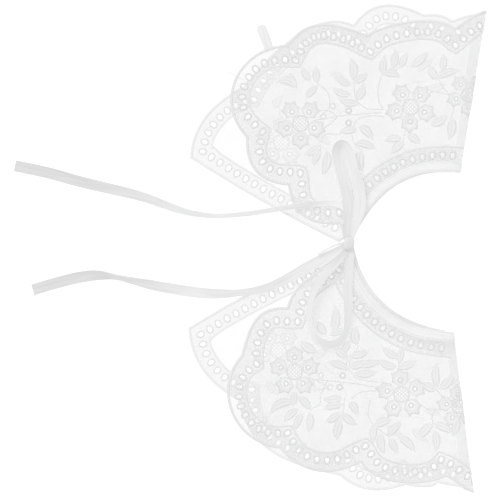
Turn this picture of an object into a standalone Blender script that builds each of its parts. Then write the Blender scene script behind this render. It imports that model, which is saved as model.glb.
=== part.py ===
"""Lace collar laid flat: two halves folded at the shoulders and tied with a ribbon bow.

Each half has a scalloped front panel lying over a back panel. The shoulder fold is a soft roll: the
front panel turns over it and ends against the back panel, which lies on the table. The neck opening
faces +X and the ribbon tails lie towards -X. Lengths in the tables are millimetres.
"""

import math
from collections import namedtuple

import bpy
from mathutils import Vector
from mathutils.geometry import delaunay_2d_cdt

# Driving dimensions, in millimetres
MM = 0.001
CLOTH = 1.0
SEAM = 0.3
BACK_MID = CLOTH / 2
FRONT_MID = BACK_MID + CLOTH + SEAM
NECKBAND_WIDTH = 8.5
STEP_AT_FOLD = 0.2
STEP_GROWTH = 0.3
EYELET_PITCH = 8.7
LEAST_PITCH = 6.3
EYELET_WIDTH = 3.5
EYELET_LENGTH = 5.0
EYELET_SIDES = 6
EYELET_POINT = 0.2
ROW_DEPTH = 10.0
ROW_DEPTH_AT_CUSP = 14.8
ROW_DEPTH_AT_CORNER = 12.0
ROW_SHARPNESS = 4
NECK_ROW_DEPTH = 14.2
GRID = 14.0
EDGE_STEP = 7.5
EDGE_CLEARANCE = 4.6
GRID_CLEARANCE = 2.2
ROLL_CLEARANCE = 1.0
ROLL_MARGIN = 4.7
RIBBON = 1.0
ROUTE_STEPS = 3
PROBE = 0.2
SAME_POINT = 1e-5

# The shoulder roll: half its depth and half its height, at the neck and at the outer edge
ROLL_DEPTH_NECK = 7.0
ROLL_DEPTH_OUTER = 10.0
ROLL_HALF_HEIGHT_NECK = 4.0
ROLL_HALF_HEIGHT_OUTER = 7.0
ROLL_SLOPE = 58.0
ROLL_STEPS = 8
ROLL_SPACING = 15.0
LIP_STEPS = 8

# The middle of the neck opening, from which the soft ripples of the cloth spread
NECK_CENTRE = Vector((163.0, -3.0))
NECK_RADIUS = 78.0
RIPPLE_REACH = 125.0

# x, y: where an edge ends. swell_in, swell_out: how far it bulges near its two ends, as a share of
# its length. grip: how far along the edge the two bulges lie. neck_step: how far the front panel's
# neck edge lies behind the back panel's.
Edge = namedtuple("Edge", "x y swell_in swell_out grip")
Ripple = namedtuple("Ripple", "bearing rise width")
Half = namedtuple("Half", "name side fold_neck fold_outer front back neck neck_step ripples")

UPPER = Half(
    name="upper",
    side=1,
    fold_neck=Vector((178.3, 63.8)),
    fold_outer=Vector((200.3, 201.1)),
    front=(
        Edge(76.3, 20.7, 0.0, 0.0, 0.33),
        Edge(32.3, 53.4, 0.30, 0.35, 0.33),
        Edge(-3.3, 94.2, 0.325, 0.325, 0.33),
        Edge(31.4, 172.9, 0.475, 0.425, 0.20),
        Edge(99.8, 181.6, 0.375, 0.15, 0.33),
        Edge(173.5, 186.7, 0.125, 0.20, 0.20),
        Edge(200.3, 201.1, 0.03, 0.12, 0.10),
    ),
    back=(
        Edge(75.5, 5.2, 0.0, 0.0, 0.33),
        Edge(-51.0, 76.8, 0.02, 0.02, 0.33),
        Edge(-6.1, 138.0, 0.225, 0.15, 0.33),
        Edge(87.6, 190.2, 0.075, 0.30, 0.20),
        Edge(147.5, 198.9, 0.35, 0.225, 0.33),
        Edge(171.5, 193.8, 0.10, 0.18, 0.33),
        Edge(190.5, 199.4, 0.03, 0.05, 0.33),
    ),
    neck=Edge(86.9, 5.6, 0.275, 0.225, 0.33),
    neck_step=0.8,
    ripples=(
        Ripple(164.0, 1.6, 6.0),
        Ripple(146.0, 2.0, 7.0),
        Ripple(115.0, 2.4, 6.0),
        Ripple(98.0, 1.8, 6.0),
    ),
)
LOWER = Half(
    name="lower",
    side=-1,
    fold_neck=Vector((172.6, -70.6)),
    fold_outer=Vector((189.5, -207.1)),
    front=(
        Edge(74.4, -5.6, 0.0, 0.0, 0.33),
        Edge(31.4, -50.2, 0.0, 0.20, 0.33),
        Edge(-7.6, -91.0, 0.40, 0.175, 0.33),
        Edge(25.0, -169.9, 0.425, 0.40, 0.20),
        Edge(93.7, -182.0, 0.275, 0.25, 0.33),
        Edge(164.8, -193.3, 0.25, 0.175, 0.20),
        Edge(189.5, -207.1, -0.08, 0.08, 0.10),
    ),
    back=(
        Edge(78.4, -1.4, 0.0, 0.0, 0.33),
        Edge(-52.7, -67.6, 0.03, 0.03, 0.33),
        Edge(-10.4, -128.9, 0.20, 0.175, 0.33),
        Edge(76.3, -193.3, 0.30, 0.15, 0.33),
        Edge(131.8, -201.1, 0.225, 0.175, 0.33),
        Edge(159.6, -199.5, 0.05, 0.22, 0.20),
        Edge(180.0, -204.0, 0.03, -0.05, 0.20),
    ),
    neck=Edge(88.0, 1.4, 0.22, 0.25, 0.33),
    neck_step=3.4,
    ripples=(
        Ripple(-163.0, 1.8, 6.0),
        Ripple(-144.0, 2.2, 7.0),
        Ripple(-123.0, 1.8, 6.0),
        Ripple(-106.0, 2.2, 6.0),
    ),
)

# Ribbon routes. z is the height of the ribbon's lowest edge, roll tips it up from lying flat.
Knot = namedtuple("Knot", "x y z roll width")
TAIL_UPPER = (
    Knot(-199.9, 70.2, 0.0, 0, 9.5),
    Knot(-172.0, 64.2, 0.0, 4, 9.5),
    Knot(-144.9, 56.8, 0.0, 12, 9.5),
    Knot(-117.0, 50.2, 0.0, 22, 9.5),
    Knot(-90.0, 43.4, 0.0, 34, 9.5),
    Knot(-66.3, 34.8, 0.0, 48, 9.5),
    Knot(-48.0, 29.6, 0.0, 60, 9.5),
    Knot(-27.0, 27.8, 0.1, 66, 9.5),
    Knot(-4.0, 29.4, 0.6, 66, 9.5),
    Knot(14.0, 32.0, 1.6, 62, 9.0),
    Knot(30.0, 34.6, 2.8, 58, 8.0),
    Knot(46.0, 36.8, 3.4, 46, 6.6),
    Knot(60.0, 38.2, 3.2, 20, 5.2),
    Knot(72.0, 37.8, 3.0, 0, 4.6),
    Knot(80.0, 33.4, 3.0, 0, 4.6),
    Knot(84.0, 24.0, 3.0, 0, 4.6),
    Knot(83.8, 9.8, 3.0, 0, 4.6),
)
TAIL_LOWER = (
    Knot(-184.8, -35.4, 0.0, 0, 9.5),
    Knot(-165.2, -29.6, 0.0, 0, 9.5),
    Knot(-144.9, -24.6, 0.0, 8, 9.5),
    Knot(-128.6, -22.8, 0.0, 30, 9.5),
    Knot(-114.0, -24.2, 0.0, 62, 9.5),
    Knot(-99.0, -27.6, 0.0, 50, 9.5),
    Knot(-78.0, -32.2, 0.0, 24, 9.5),
    Knot(-56.0, -36.0, 0.0, 14, 9.5),
    Knot(-33.0, -38.4, 0.0, 26, 9.5),
    Knot(-10.0, -37.6, 0.8, 50, 9.5),
    Knot(12.0, -34.0, 1.8, 42, 9.5),
    Knot(31.0, -26.0, 2.7, 26, 9.5),
    Knot(47.0, -16.8, 3.2, 12, 9.4),
    Knot(60.0, -9.8, 3.2, 4, 9.0),
    Knot(69.0, -4.8, 3.0, 0, 7.6),
    Knot(77.0, -0.2, 3.0, 0, 5.6),
)
LOOP_UPPER = (
    Knot(81.2, 10.2, 5.2, 4, 4.4),
    Knot(82.2, 23.0, 4.8, 8, 6.4),
    Knot(82.6, 36.0, 4.6, 12, 7.8),
    Knot(80.9, 50.0, 4.2, 14, 9.2),
    Knot(77.0, 67.0, 3.6, 16, 10.6),
    Knot(73.6, 79.0, 3.3, 38, 10.8),
    Knot(74.8, 86.6, 3.2, 62, 10.6),
    Knot(79.4, 87.4, 3.2, 66, 10.6),
    Knot(84.4, 80.0, 3.2, 56, 10.6),
    Knot(88.2, 67.0, 3.6, 46, 10.2),
    Knot(91.4, 50.0, 4.2, 34, 9.8),
    Knot(92.6, 36.0, 4.6, 22, 9.4),
    Knot(90.4, 23.0, 4.8, 12, 7.4),
    Knot(86.4, 10.2, 5.2, 4, 4.4),
)
LOOP_LOWER = (
    Knot(80.8, -2.4, 5.2, 8, 4.4),
    Knot(72.8, -12.0, 5.0, 16, 7.0),
    Knot(62.4, -23.4, 4.4, 30, 8.4),
    Knot(53.6, -37.2, 3.8, 48, 8.6),
    Knot(50.0, -52.4, 3.4, 58, 8.6),
    Knot(51.0, -66.4, 3.2, 56, 8.8),
    Knot(57.4, -77.4, 3.2, 46, 9.2),
    Knot(67.6, -82.0, 3.2, 38, 9.5),
    Knot(77.2, -77.4, 3.2, 44, 9.2),
    Knot(82.2, -66.0, 3.2, 46, 8.8),
    Knot(83.0, -48.0, 3.4, 30, 8.6),
    Knot(82.6, -32.0, 3.8, 22, 8.6),
    Knot(84.0, -17.6, 4.4, 14, 7.0),
    Knot(86.2, -2.4, 5.2, 8, 4.4),
)
TAB = (
    Knot(16.4, 168.0, 0.0, 0, 8.4),
    Knot(14.2, 174.6, 0.0, 0, 8.4),
    Knot(11.6, 181.6, 0.0, 0, 8.8),
    Knot(9.2, 188.4, 0.0, 0, 8.6),
)
KNOT_CENTRE = (83.6, 4.0, 7.0)
KNOT_HALF_SIZE = (5.4, 5.6, 4.4)
KNOT_ROUNDNESS = 0.4
KNOT_SQUARENESS = 0.7
KNOT_SEGMENTS = 20
KNOT_RINGS = 10

# Surface colours (linear RGB) and roughness
ORGANZA = ((0.93, 0.93, 0.92), 0.55)
BINDING = ((0.90, 0.90, 0.90), 0.55)
SATIN = ((0.86, 0.86, 0.87), 0.35)


def clear_scene():
    for old in list(bpy.data.objects):
        bpy.data.objects.remove(old, do_unlink=True)


def material(name, colour, roughness):
    made = bpy.data.materials.new(name)
    made.use_nodes = True
    shader = made.node_tree.nodes["Principled BSDF"]
    shader.inputs["Base Color"].default_value = (*colour, 1.0)
    shader.inputs["Roughness"].default_value = roughness
    shader.inputs["Metallic"].default_value = 0.0
    return made


def make_object(name, points, faces, look):
    """An object from points in millimetres."""
    mesh = bpy.data.meshes.new(name)
    mesh.from_pydata([Vector(p) * MM for p in points], [], faces)
    mesh.materials.append(look)
    mesh.update()
    made = bpy.data.objects.new(name, mesh)
    bpy.context.collection.objects.link(made)
    return made


def smooth(share):
    share = min(1.0, max(0.0, share))
    return share * share * (3.0 - 2.0 * share)


def mix(start, end, share):
    return start + (end - start) * share


# The shoulder roll
class Shoulder:
    """Turns the flat pattern of a half into its folded place, and back.

    The pattern is measured from the line of the fold: u is the distance inside it, v runs along it
    from the neck. Inside the roll's depth, pattern and plan agree.
    """

    def __init__(self, half):
        self.half = half
        along = half.fold_outer - half.fold_neck
        self.length = along.length
        self.along = along.normalized()
        self.inward = Vector((-self.along.y, self.along.x)) * half.side

    def depth(self, v):
        return mix(ROLL_DEPTH_NECK, ROLL_DEPTH_OUTER, v / self.length)

    def half_height(self, v):
        return mix(ROLL_HALF_HEIGHT_NECK, ROLL_HALF_HEIGHT_OUTER, v / self.length)

    def radius(self, v):
        return (self.depth(v) + self.half_height(v)) / 2

    def to_uv(self, point):
        offset = Vector(point[:2]) - self.half.fold_neck
        return offset.dot(self.inward), offset.dot(self.along)

    def to_xy(self, u, v):
        return self.half.fold_neck + self.inward * u + self.along * v

    def unfold(self, point):
        """The pattern point of a plan point on the upper side of the roll."""
        u, v = self.to_uv(point)
        depth = self.depth(v)
        if u >= depth:
            return Vector(point)
        turn = math.asin(min(1.0, 1.0 - u / depth))
        return self.to_xy(depth - turn * self.radius(v), v)

    def turned(self, v, turn):
        """The pattern point that lies this far round the roll, as an angle from its crest."""
        return self.to_xy(self.depth(v) - turn * self.radius(v), v)

    def front_middle(self, point):
        """The middle of the front panel's wall above or round this pattern point."""
        u, v = self.to_uv(point)
        depth = self.depth(v)
        rise = 2 * self.half_height(v) + BACK_MID - FRONT_MID
        if u >= depth:
            height = FRONT_MID + rise * smooth(1.0 - (u - depth) / ROLL_SLOPE)
            fade = smooth((u - depth) / ROLL_SLOPE)
            return Vector((point[0], point[1], height + fade * ripple(self.half, point)))
        turn = (depth - u) / self.radius(v)
        flat = self.to_xy(depth * (1.0 - math.sin(turn)), v)
        half_height = self.half_height(v)
        return Vector((flat.x, flat.y, BACK_MID + half_height * (1.0 + math.cos(turn))))

    def back_middle(self, point):
        return Vector((point[0], point[1], BACK_MID))


def ripple(half, point):
    """The soft waves that spread from the neck to the outer edge."""
    arm = Vector(point[:2]) - NECK_CENTRE
    bearing = math.degrees(math.atan2(arm.y, arm.x))
    reach = smooth((arm.length - NECK_RADIUS) / RIPPLE_REACH)
    return reach * sum(
        row.rise * math.exp(-(((bearing - row.bearing) / row.width) ** 2)) for row in half.ripples
    )


# Flat outlines
def arc(start, row, side):
    """Points from start to the end of this edge, which swells to the outside of the panel."""
    end = Vector((row.x, row.y))
    chord = end - start
    outward = Vector((-chord.y, chord.x)) * side
    first = start + chord * row.grip + outward * row.swell_in
    second = start + chord * (1.0 - row.grip) + outward * row.swell_out
    steps = max(1, round(chord.length * (1.0 + abs(row.swell_in)) / EDGE_STEP))
    if row.swell_in == 0 and row.swell_out == 0:
        steps = max(1, round(steps / 2))
    return [bezier(start, first, second, end, i / steps) for i in range(steps + 1)]


def bezier(a, b, c, d, t):
    s = 1.0 - t
    return a * s**3 + b * 3 * s * s * t + c * 3 * s * t * t + d * t**3


def neck_curve(half, shift, step=0.0):
    """The neck edge from the fold to the knot, moved this far into the panel, and by a step that grows."""
    points = arc(half.fold_neck, half.neck, -half.side)
    moved = []
    last = len(points) - 1
    for i, point in enumerate(points):
        tangent = points[min(i + 1, last)] - points[max(i - 1, 0)]
        tangent.normalize()
        reach = shift + step * mix(STEP_AT_FOLD, 1.0, smooth(i / last / STEP_GROWTH))
        moved.append(point + Vector((tangent.y, -tangent.x)) * half.side * reach)
    return moved


def round_the_fold(shoulder, points):
    """Carries a neck curve, which starts at the fold, round the roll to the back panel."""
    above = across_roll(shoulder, points[::-1])
    below = [shoulder.turned(shoulder.to_uv(p)[1], math.pi - turn) for p, turn in above[:-1]]
    flat = [p for p in points if shoulder.to_uv(p)[0] > shoulder.depth(0.0) + SEAM]
    return below + [shoulder.turned(shoulder.to_uv(p)[1], turn) for p, turn in above[::-1]] + flat


def across_roll(shoulder, line):
    """Where a plan line that ends at the fold meets each step of the roll, from its crest down."""
    met = []
    for step in range(ROLL_STEPS // 2 + 1):
        turn = math.pi * step / ROLL_STEPS
        found = line[-1]
        for a, b in zip(line, line[1:]):
            spare_a, spare_b = (inside_turn(shoulder, p, turn) for p in (a, b))
            if spare_a >= 0 > spare_b:
                found = a.lerp(b, spare_a / (spare_a - spare_b))
        met.append((found, turn))
    return met


def inside_turn(shoulder, point, turn):
    """How far a plan point lies inside the line of the roll at this turn."""
    u, v = shoulder.to_uv(point)
    return u - shoulder.depth(v) * (1.0 - math.sin(turn))


def inside(point, loops):
    """Whether the point is in the panel: inside an odd number of its loops."""
    x, y = point[0], point[1]
    crossings = 0
    for loop in loops:
        for a, b in zip(loop, loop[1:] + loop[:1]):
            if (a.y > y) != (b.y > y) and x < a.x + (y - a.y) * (b.x - a.x) / (b.y - a.y):
                crossings += 1
    return crossings % 2 == 1


def distance_to(point, loop):
    """The distance from a point to the nearest side of a loop."""
    least = math.inf
    for a, b in zip(loop, loop[1:] + loop[:1]):
        side = b - a
        share = 0.0
        if side.length_squared > 0:
            share = min(1.0, max(0.0, (point - a).dot(side) / side.length_squared))
        least = min(least, (point - a - side * share).length)
    return least


# Eyelets
def corner_between(before, after, side):
    """The way into the panel at the corner where two curves meet, and how deep the row lies there."""
    arriving = (before[-1] - before[-2]).normalized()
    leaving = (after[1] - after[0]).normalized()
    mean = (arriving + leaving).normalized()
    points_out = arriving.cross(leaving) * side < 0
    depth = ROW_DEPTH_AT_CORNER if points_out else ROW_DEPTH_AT_CUSP
    return Vector((mean.y, -mean.x)) * side, depth


def rows_inside(curves, side):
    """The line of the eyelet row inside each curve, drawn deeper where two of them meet."""
    corners = [None] + [corner_between(a, b, side) for a, b in zip(curves, curves[1:])] + [None]
    rows = []
    for n, points in enumerate(curves):
        last = len(points) - 1
        row = []
        for i, point in enumerate(points):
            tangent = (points[min(i + 1, last)] - points[max(i - 1, 0)]).normalized()
            inward = Vector((tangent.y, -tangent.x)) * side
            share = 2.0 * i / last - 1.0
            corner = corners[n] if share < 0 else corners[n + 1]
            depth = ROW_DEPTH
            if corner:
                weight = share**ROW_SHARPNESS
                inward = inward.lerp(corner[0], weight).normalized()
                depth = mix(ROW_DEPTH, corner[1], weight)
            row.append(point + inward * depth)
        rows.append(row)
    return rows


def spaced(line, whole=True):
    """Points a pitch apart from the start of a line, with their directions.

    On a whole line the pitch is evened out, so that the next line starts one pitch further on.
    """
    lengths = [0.0]
    for a, b in zip(line, line[1:]):
        lengths.append(lengths[-1] + (b - a).length)
    count = max(1, round(lengths[-1] / EYELET_PITCH))
    pitch = lengths[-1] / count if whole else EYELET_PITCH
    found = []
    for n in range(count):
        wanted = min(pitch * n, lengths[-1])
        i = max(k for k in range(len(line) - 1) if lengths[k] <= wanted)
        share = (wanted - lengths[i]) / (lengths[i + 1] - lengths[i])
        found.append((line[i].lerp(line[i + 1], share), line[i + 1] - line[i]))
    return found


def eyelet(centre, direction, side):
    """A pointed oval across the row, its point towards the panel's edge."""
    across = direction.normalized()
    outward = Vector((-across.y, across.x)) * side
    loop = []
    for i in range(EYELET_SIDES):
        angle = 2 * math.pi * i / EYELET_SIDES
        reach = EYELET_LENGTH / 2 * math.cos(angle) + EYELET_POINT * math.cos(2 * angle)
        loop.append(centre + outward * reach + across * (EYELET_WIDTH / 2 * math.sin(angle)))
    return loop


# Panels
def grid_points(shoulder, outline, centres, has_roll):
    """An even grid of points inside the panel, but for its roll."""
    low_x, high_x = min(p.x for p in outline), max(p.x for p in outline)
    low_y, high_y = min(p.y for p in outline), max(p.y for p in outline)
    wanted = []
    for row in range(int((high_y - low_y) / GRID) + 1):
        for column in range(int((high_x - low_x) / GRID) + 2):
            x = low_x + (column + 0.5 * (row % 2)) * GRID
            wanted.append(Vector((x, low_y + (row + 0.5) * GRID)))
    if has_roll:
        wanted = [p for p in wanted if inside_turn(shoulder, p, 0.0) > ROLL_MARGIN]
    return free_points(wanted, outline, centres, GRID_CLEARANCE)


def roll_rows(shoulder):
    """Rows of points along the roll, one at each step round it."""
    count = round(shoulder.length / ROLL_SPACING)
    for step in range(ROLL_STEPS):
        turn = math.pi * step / ROLL_STEPS
        yield [shoulder.turned(shoulder.length * (n + 0.5) / count, turn) for n in range(count)]


def free_points(wanted, outline, centres, clearance):
    """Those that lie inside the outline, this far from it and from every eyelet."""
    reach = EYELET_LENGTH / 2 + clearance
    return [
        p
        for p in wanted
        if inside(p, [outline])
        and distance_to(p, outline) > clearance
        and all((p - c).length > reach for c in centres)
    ]


def build_panel(name, shoulder, outline, holes, middle, look, has_roll):
    """A closed wall of cloth over this flat outline, cut through at each hole."""
    loops = [outline] + holes
    coords = []
    edges = []
    for loop in loops:
        first = len(coords)
        coords += loop
        edges += [(first + i, first + (i + 1) % len(loop)) for i in range(len(loop))]
    centres = [sum(hole, Vector((0, 0))) / len(hole) for hole in holes]
    coords += grid_points(shoulder, outline, centres, has_roll)
    if has_roll:
        for row in roll_rows(shoulder):
            row = free_points(row, outline, centres, ROLL_CLEARANCE)
            first = len(coords)
            coords += row
            for i, (a, b) in enumerate(zip(row, row[1:])):
                if all(distance_to(c, [a, b]) > EYELET_LENGTH / 2 + SEAM for c in centres):
                    edges.append((first + i, first + i + 1))
    flat, _, triangles, *_ = delaunay_2d_cdt(coords, edges, [], 0, SAME_POINT)
    kept = []
    for triangle in triangles:
        corners = [flat[i] for i in triangle]
        if inside(sum(corners, Vector((0, 0))) / 3, loops):
            turn = (corners[1] - corners[0]).cross(corners[2] - corners[0])
            kept.append(tuple(triangle) if turn > 0 else tuple(reversed(triangle)))
    return wall(name, flat, kept, middle, look)


def wall(name, flat, triangles, middle, look):
    """Two surfaces half the cloth's thickness either side of the middle one, joined round every edge."""
    used = sorted({i for triangle in triangles for i in triangle})
    number = {old: new for new, old in enumerate(used)}
    top = []
    bottom = []
    for i in used:
        centre = middle(flat[i])
        normal = surface_normal(flat[i], middle)
        top.append(centre + normal * CLOTH / 2)
        bottom.append(centre - normal * CLOTH / 2)
    count = len(used)
    upper = [tuple(number[i] for i in triangle) for triangle in triangles]
    lower = [tuple(count + i for i in reversed(triangle)) for triangle in upper]
    directed = {(a, b) for t in upper for a, b in zip(t, t[1:] + t[:1])}
    rims = [(a, b) for a, b in directed if (b, a) not in directed]
    sides = [(b, a, count + a, count + b) for a, b in sorted(rims)]
    return make_object(name, top + bottom, upper + lower + sides, look)


def surface_normal(point, middle):
    step = PROBE
    across = middle(point + Vector((step, 0))) - middle(point - Vector((step, 0)))
    along = middle(point + Vector((0, step))) - middle(point - Vector((0, step)))
    return across.cross(along).normalized()


def edge_curves(start, rows, side):
    curves = []
    for row in rows:
        curves.append(arc(start, row, side))
        start = Vector((row.x, row.y))
    return curves


def joined(curves):
    """One line through curves that follow each other."""
    line = list(curves[0])
    for curve in curves[1:]:
        line += curve[1:]
    return line


def build_front(half, shoulder, look):
    neck = round_the_fold(shoulder, neck_curve(half, NECKBAND_WIDTH + SEAM, half.neck_step))
    curves = edge_curves(neck[-1], half.front, half.side)
    over = [shoulder.turned(shoulder.to_uv(p)[1], turn) for p, turn in across_roll(shoulder, curves[-1])]
    flat = [p for p in curves[-1] if inside_turn(shoulder, p, 0.0) > SEAM]
    v_fold = shoulder.length
    v_end = shoulder.to_uv(Vector((half.back[-1].x, half.back[-1].y)))[1]
    turns = [math.pi * (0.5 + step / ROLL_STEPS) for step in range(1, ROLL_STEPS // 2 + 1)]
    under = [shoulder.turned(mix(v_fold, v_end, 1.0 - math.sin(turn)), turn) for turn in turns]
    curves[-1] = flat + over
    lip = [under[-1].lerp(neck[0], i / LIP_STEPS) for i in range(1, LIP_STEPS)]
    outline = joined(curves) + under + lip + neck[:-1]
    scallops = curves[1:]
    scallops[-1] = scallops[-1] + under[:-1]
    rows = rows_inside(scallops, half.side)
    places = [place for row in rows[:-1] for place in spaced(row)] + spaced(rows[-1], whole=False)
    for centre, direction in spaced(neck_curve(half, NECK_ROW_DEPTH, half.neck_step)):
        if inside_turn(shoulder, centre, 0.0) > EYELET_WIDTH / 2:
            places.append((centre, direction))
    holes = clear_holes(outline, places, half.side)
    middle = shoulder.front_middle
    return build_panel(f"front_{half.name}", shoulder, outline, holes, middle, look, True)


def build_back(half, shoulder, look):
    neck = neck_curve(half, NECKBAND_WIDTH + SEAM)
    neck = [clear_of_lip(shoulder, p) for p in neck]
    curves = edge_curves(neck[-1], half.back, half.side)
    curves = [[clear_of_lip(shoulder, p) for p in curve] for curve in curves]
    outer = curves[-1][-1]
    side_edge = [outer.lerp(neck[0], i / LIP_STEPS) for i in range(1, LIP_STEPS)]
    outline = joined(curves) + side_edge + neck[:-1]
    places = [place for row in rows_inside(curves[1:], half.side) for place in spaced(row)]
    holes = clear_holes(outline, places, half.side)
    middle = shoulder.back_middle
    return build_panel(f"back_{half.name}", shoulder, outline, holes, middle, look, False)


def clear_of_lip(shoulder, point):
    """Keeps a point of the back panel a seam's width from the end of the roll."""
    u, v = shoulder.to_uv(point)
    return shoulder.to_xy(max(u, shoulder.depth(v) + SEAM), v)


def clear_holes(outline, places, side):
    """Eyelets at these places, but for any that would run into the outline or another."""
    holes = []
    centres = []
    for centre, direction in places:
        apart = all((centre - other).length > LEAST_PITCH for other in centres)
        if apart and inside(centre, [outline]) and distance_to(centre, outline) > EDGE_CLEARANCE:
            holes.append(eyelet(centre, direction, side))
            centres.append(centre)
    return holes


def band(name, near, far, middle, look):
    """A strip of doubled cloth between two lines with as many points each."""
    flat = near + far
    count = len(near)
    triangles = []
    for i in range(count - 1):
        a, b, c, d = i, i + 1, count + i + 1, count + i
        turn = (flat[b] - flat[a]).cross(flat[c] - flat[a])
        quad = (a, b, c, d) if turn > 0 else (d, c, b, a)
        triangles += [(quad[0], quad[1], quad[2]), (quad[0], quad[2], quad[3])]
    return wall(name, flat, triangles, middle, look)


def build_neckbands(half, shoulder, look):
    near = round_the_fold(shoulder, neck_curve(half, 0.0, half.neck_step))
    far = round_the_fold(shoulder, neck_curve(half, NECKBAND_WIDTH, half.neck_step))
    band(f"neckband_front_{half.name}", near, far, shoulder.front_middle, look)
    near = neck_curve(half, 0.0)
    far = neck_curve(half, NECKBAND_WIDTH)
    near, far = ([clear_of_lip(shoulder, p) for p in line] for line in (near, far))
    band(f"neckband_back_{half.name}", near, far, shoulder.back_middle, look)


# Ribbon
def through(rows, n, share):
    """A smooth curve through the rows: each column between row n and the next."""
    last = len(rows) - 1
    a, b, c, d = (rows[min(last, max(0, n + k))] for k in (-1, 0, 1, 2))
    values = []
    for p, q, r, s in zip(a, b, c, d):
        bend = (2 * p - 5 * q + 4 * r - s) * share**2 + (3 * q - p - 3 * r + s) * share**3
        values.append(q + ((r - p) * share + bend) / 2)
    found = Knot(*values)
    return found._replace(z=max(found.z, 0.0))


def build_ribbon(name, rows, look):
    """A flat strip along its route, tipped by its roll and resting on its lower edge."""
    sections = []
    for n in range(len(rows) - 1):
        sections += [through(rows, n, k / ROUTE_STEPS) for k in range(ROUTE_STEPS)]
    sections.append(rows[-1])
    points = []
    last = len(sections) - 1
    for i, row in enumerate(sections):
        before = sections[max(0, i - 1)]
        after = sections[min(last, i + 1)]
        tangent = Vector((after.x - before.x, after.y - before.y, 0.0)).normalized()
        roll = math.radians(row.roll)
        side = Vector((-tangent.y, tangent.x, 0.0))
        wide = side * math.cos(roll) + Vector((0.0, 0.0, math.sin(roll)))
        thick = tangent.cross(wide)
        low = row.width / 2 * abs(math.sin(roll)) + RIBBON / 2 * abs(math.cos(roll))
        centre = Vector((row.x, row.y, row.z + low))
        for along, up in ((-1, -1), (1, -1), (1, 1), (-1, 1)):
            points.append(centre + wide * along * row.width / 2 + thick * up * RIBBON / 2)
    faces = [(0, 3, 2, 1), tuple(4 * last + k for k in range(4))]
    for i in range(last):
        for k in range(4):
            a, b = 4 * i + k, 4 * i + (k + 1) % 4
            faces.append((a, b, b + 4, a + 4))
    return make_object(name, points, faces, look)


def squared(value):
    """A sine or cosine pushed outwards, which turns a circle into a rounded square."""
    return math.copysign(abs(value) ** KNOT_SQUARENESS, value)


def build_knot(look):
    """The tied knot: a rounded cushion, squarish as seen from above."""
    points = []
    faces = []
    for ring in range(1, KNOT_RINGS):
        tilt = math.pi * ring / KNOT_RINGS
        for i in range(KNOT_SEGMENTS):
            angle = 2 * math.pi * i / KNOT_SEGMENTS
            spread = math.sin(tilt) ** KNOT_ROUNDNESS
            x, y = squared(math.cos(angle)), squared(math.sin(angle))
            unit = (spread * x, spread * y, math.cos(tilt))
            points.append([c + s * h for c, s, h in zip(KNOT_CENTRE, unit, KNOT_HALF_SIZE)])
    rings = KNOT_RINGS - 1
    for ring in range(rings - 1):
        for i in range(KNOT_SEGMENTS):
            a = ring * KNOT_SEGMENTS + i
            b = ring * KNOT_SEGMENTS + (i + 1) % KNOT_SEGMENTS
            faces.append((a, a + KNOT_SEGMENTS, b + KNOT_SEGMENTS, b))
    faces.append(tuple(range(KNOT_SEGMENTS)))
    faces.append(tuple((rings - 1) * KNOT_SEGMENTS + i for i in reversed(range(KNOT_SEGMENTS))))
    return make_object("bow_knot", points, faces, look)


def main():
    clear_scene()
    organza = material("organza", *ORGANZA)
    binding = material("neckband_binding", *BINDING)
    satin = material("satin_ribbon", *SATIN)
    for half in (UPPER, LOWER):
        shoulder = Shoulder(half)
        build_front(half, shoulder, organza)
        build_back(half, shoulder, organza)
        build_neckbands(half, shoulder, binding)
    build_ribbon("ribbon_tail_upper", TAIL_UPPER, satin)
    build_ribbon("ribbon_tail_lower", TAIL_LOWER, satin)
    build_ribbon("bow_loop_upper", LOOP_UPPER, satin)
    build_ribbon("bow_loop_lower", LOOP_LOWER, satin)
    build_ribbon("side_tab", TAB, binding)
    build_knot(satin)


main()
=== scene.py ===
"""Looks of the lace collar: sheer embroidered panels, bound neck edges and a ribbon bow, laid flat.

Tables and shapes are in millimetres, as in the part's source. A pattern point is a point of the flat
cloth. It is the same as the plan seen from above, but for the shoulder roll, where the cloth turns under.
"""

import math
from collections import namedtuple

import bmesh
import bpy
import numpy as np
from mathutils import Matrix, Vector, noise
from mathutils.geometry import delaunay_2d_cdt


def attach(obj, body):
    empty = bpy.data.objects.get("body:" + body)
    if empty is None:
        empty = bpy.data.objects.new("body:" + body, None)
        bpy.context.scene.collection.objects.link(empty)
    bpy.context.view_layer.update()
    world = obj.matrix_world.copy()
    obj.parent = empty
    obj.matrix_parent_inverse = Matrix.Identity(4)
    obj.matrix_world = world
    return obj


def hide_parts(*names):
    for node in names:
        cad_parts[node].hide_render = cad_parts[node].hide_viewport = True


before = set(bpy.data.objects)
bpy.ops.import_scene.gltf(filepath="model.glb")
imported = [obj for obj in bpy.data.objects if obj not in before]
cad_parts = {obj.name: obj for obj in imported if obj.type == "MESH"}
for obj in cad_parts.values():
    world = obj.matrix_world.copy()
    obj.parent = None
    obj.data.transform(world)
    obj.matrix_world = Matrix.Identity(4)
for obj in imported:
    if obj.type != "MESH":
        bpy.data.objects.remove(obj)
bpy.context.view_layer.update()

# Sizes in millimetres. MM is one of them in metres.
MM = 0.001
CLOTH = 1.0
SEAM = 0.3
BACK_MID = CLOTH / 2
FRONT_MID = BACK_MID + CLOTH + SEAM
ORGANZA_THICKNESS = 0.22
BAND_THICKNESS = 0.9
RIBBON_THICKNESS = 0.35
NECKBAND_WIDTH = 8.5
TUCK = 1.2
EYELET_PITCH = 8.7
LEAST_PITCH = EYELET_PITCH * 0.72
EYELET_WIDTH = 3.4
EYELET_LENGTH = 4.9
EYELET_POINT = 0.25
EYELET_RIM = 1.5
NECK_ROW_DEPTH = 14.2
NECK_INNER_DEPTH = 21.2
INNER_MARGIN = 1.5
NECK_MARGIN = 0.5
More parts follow.
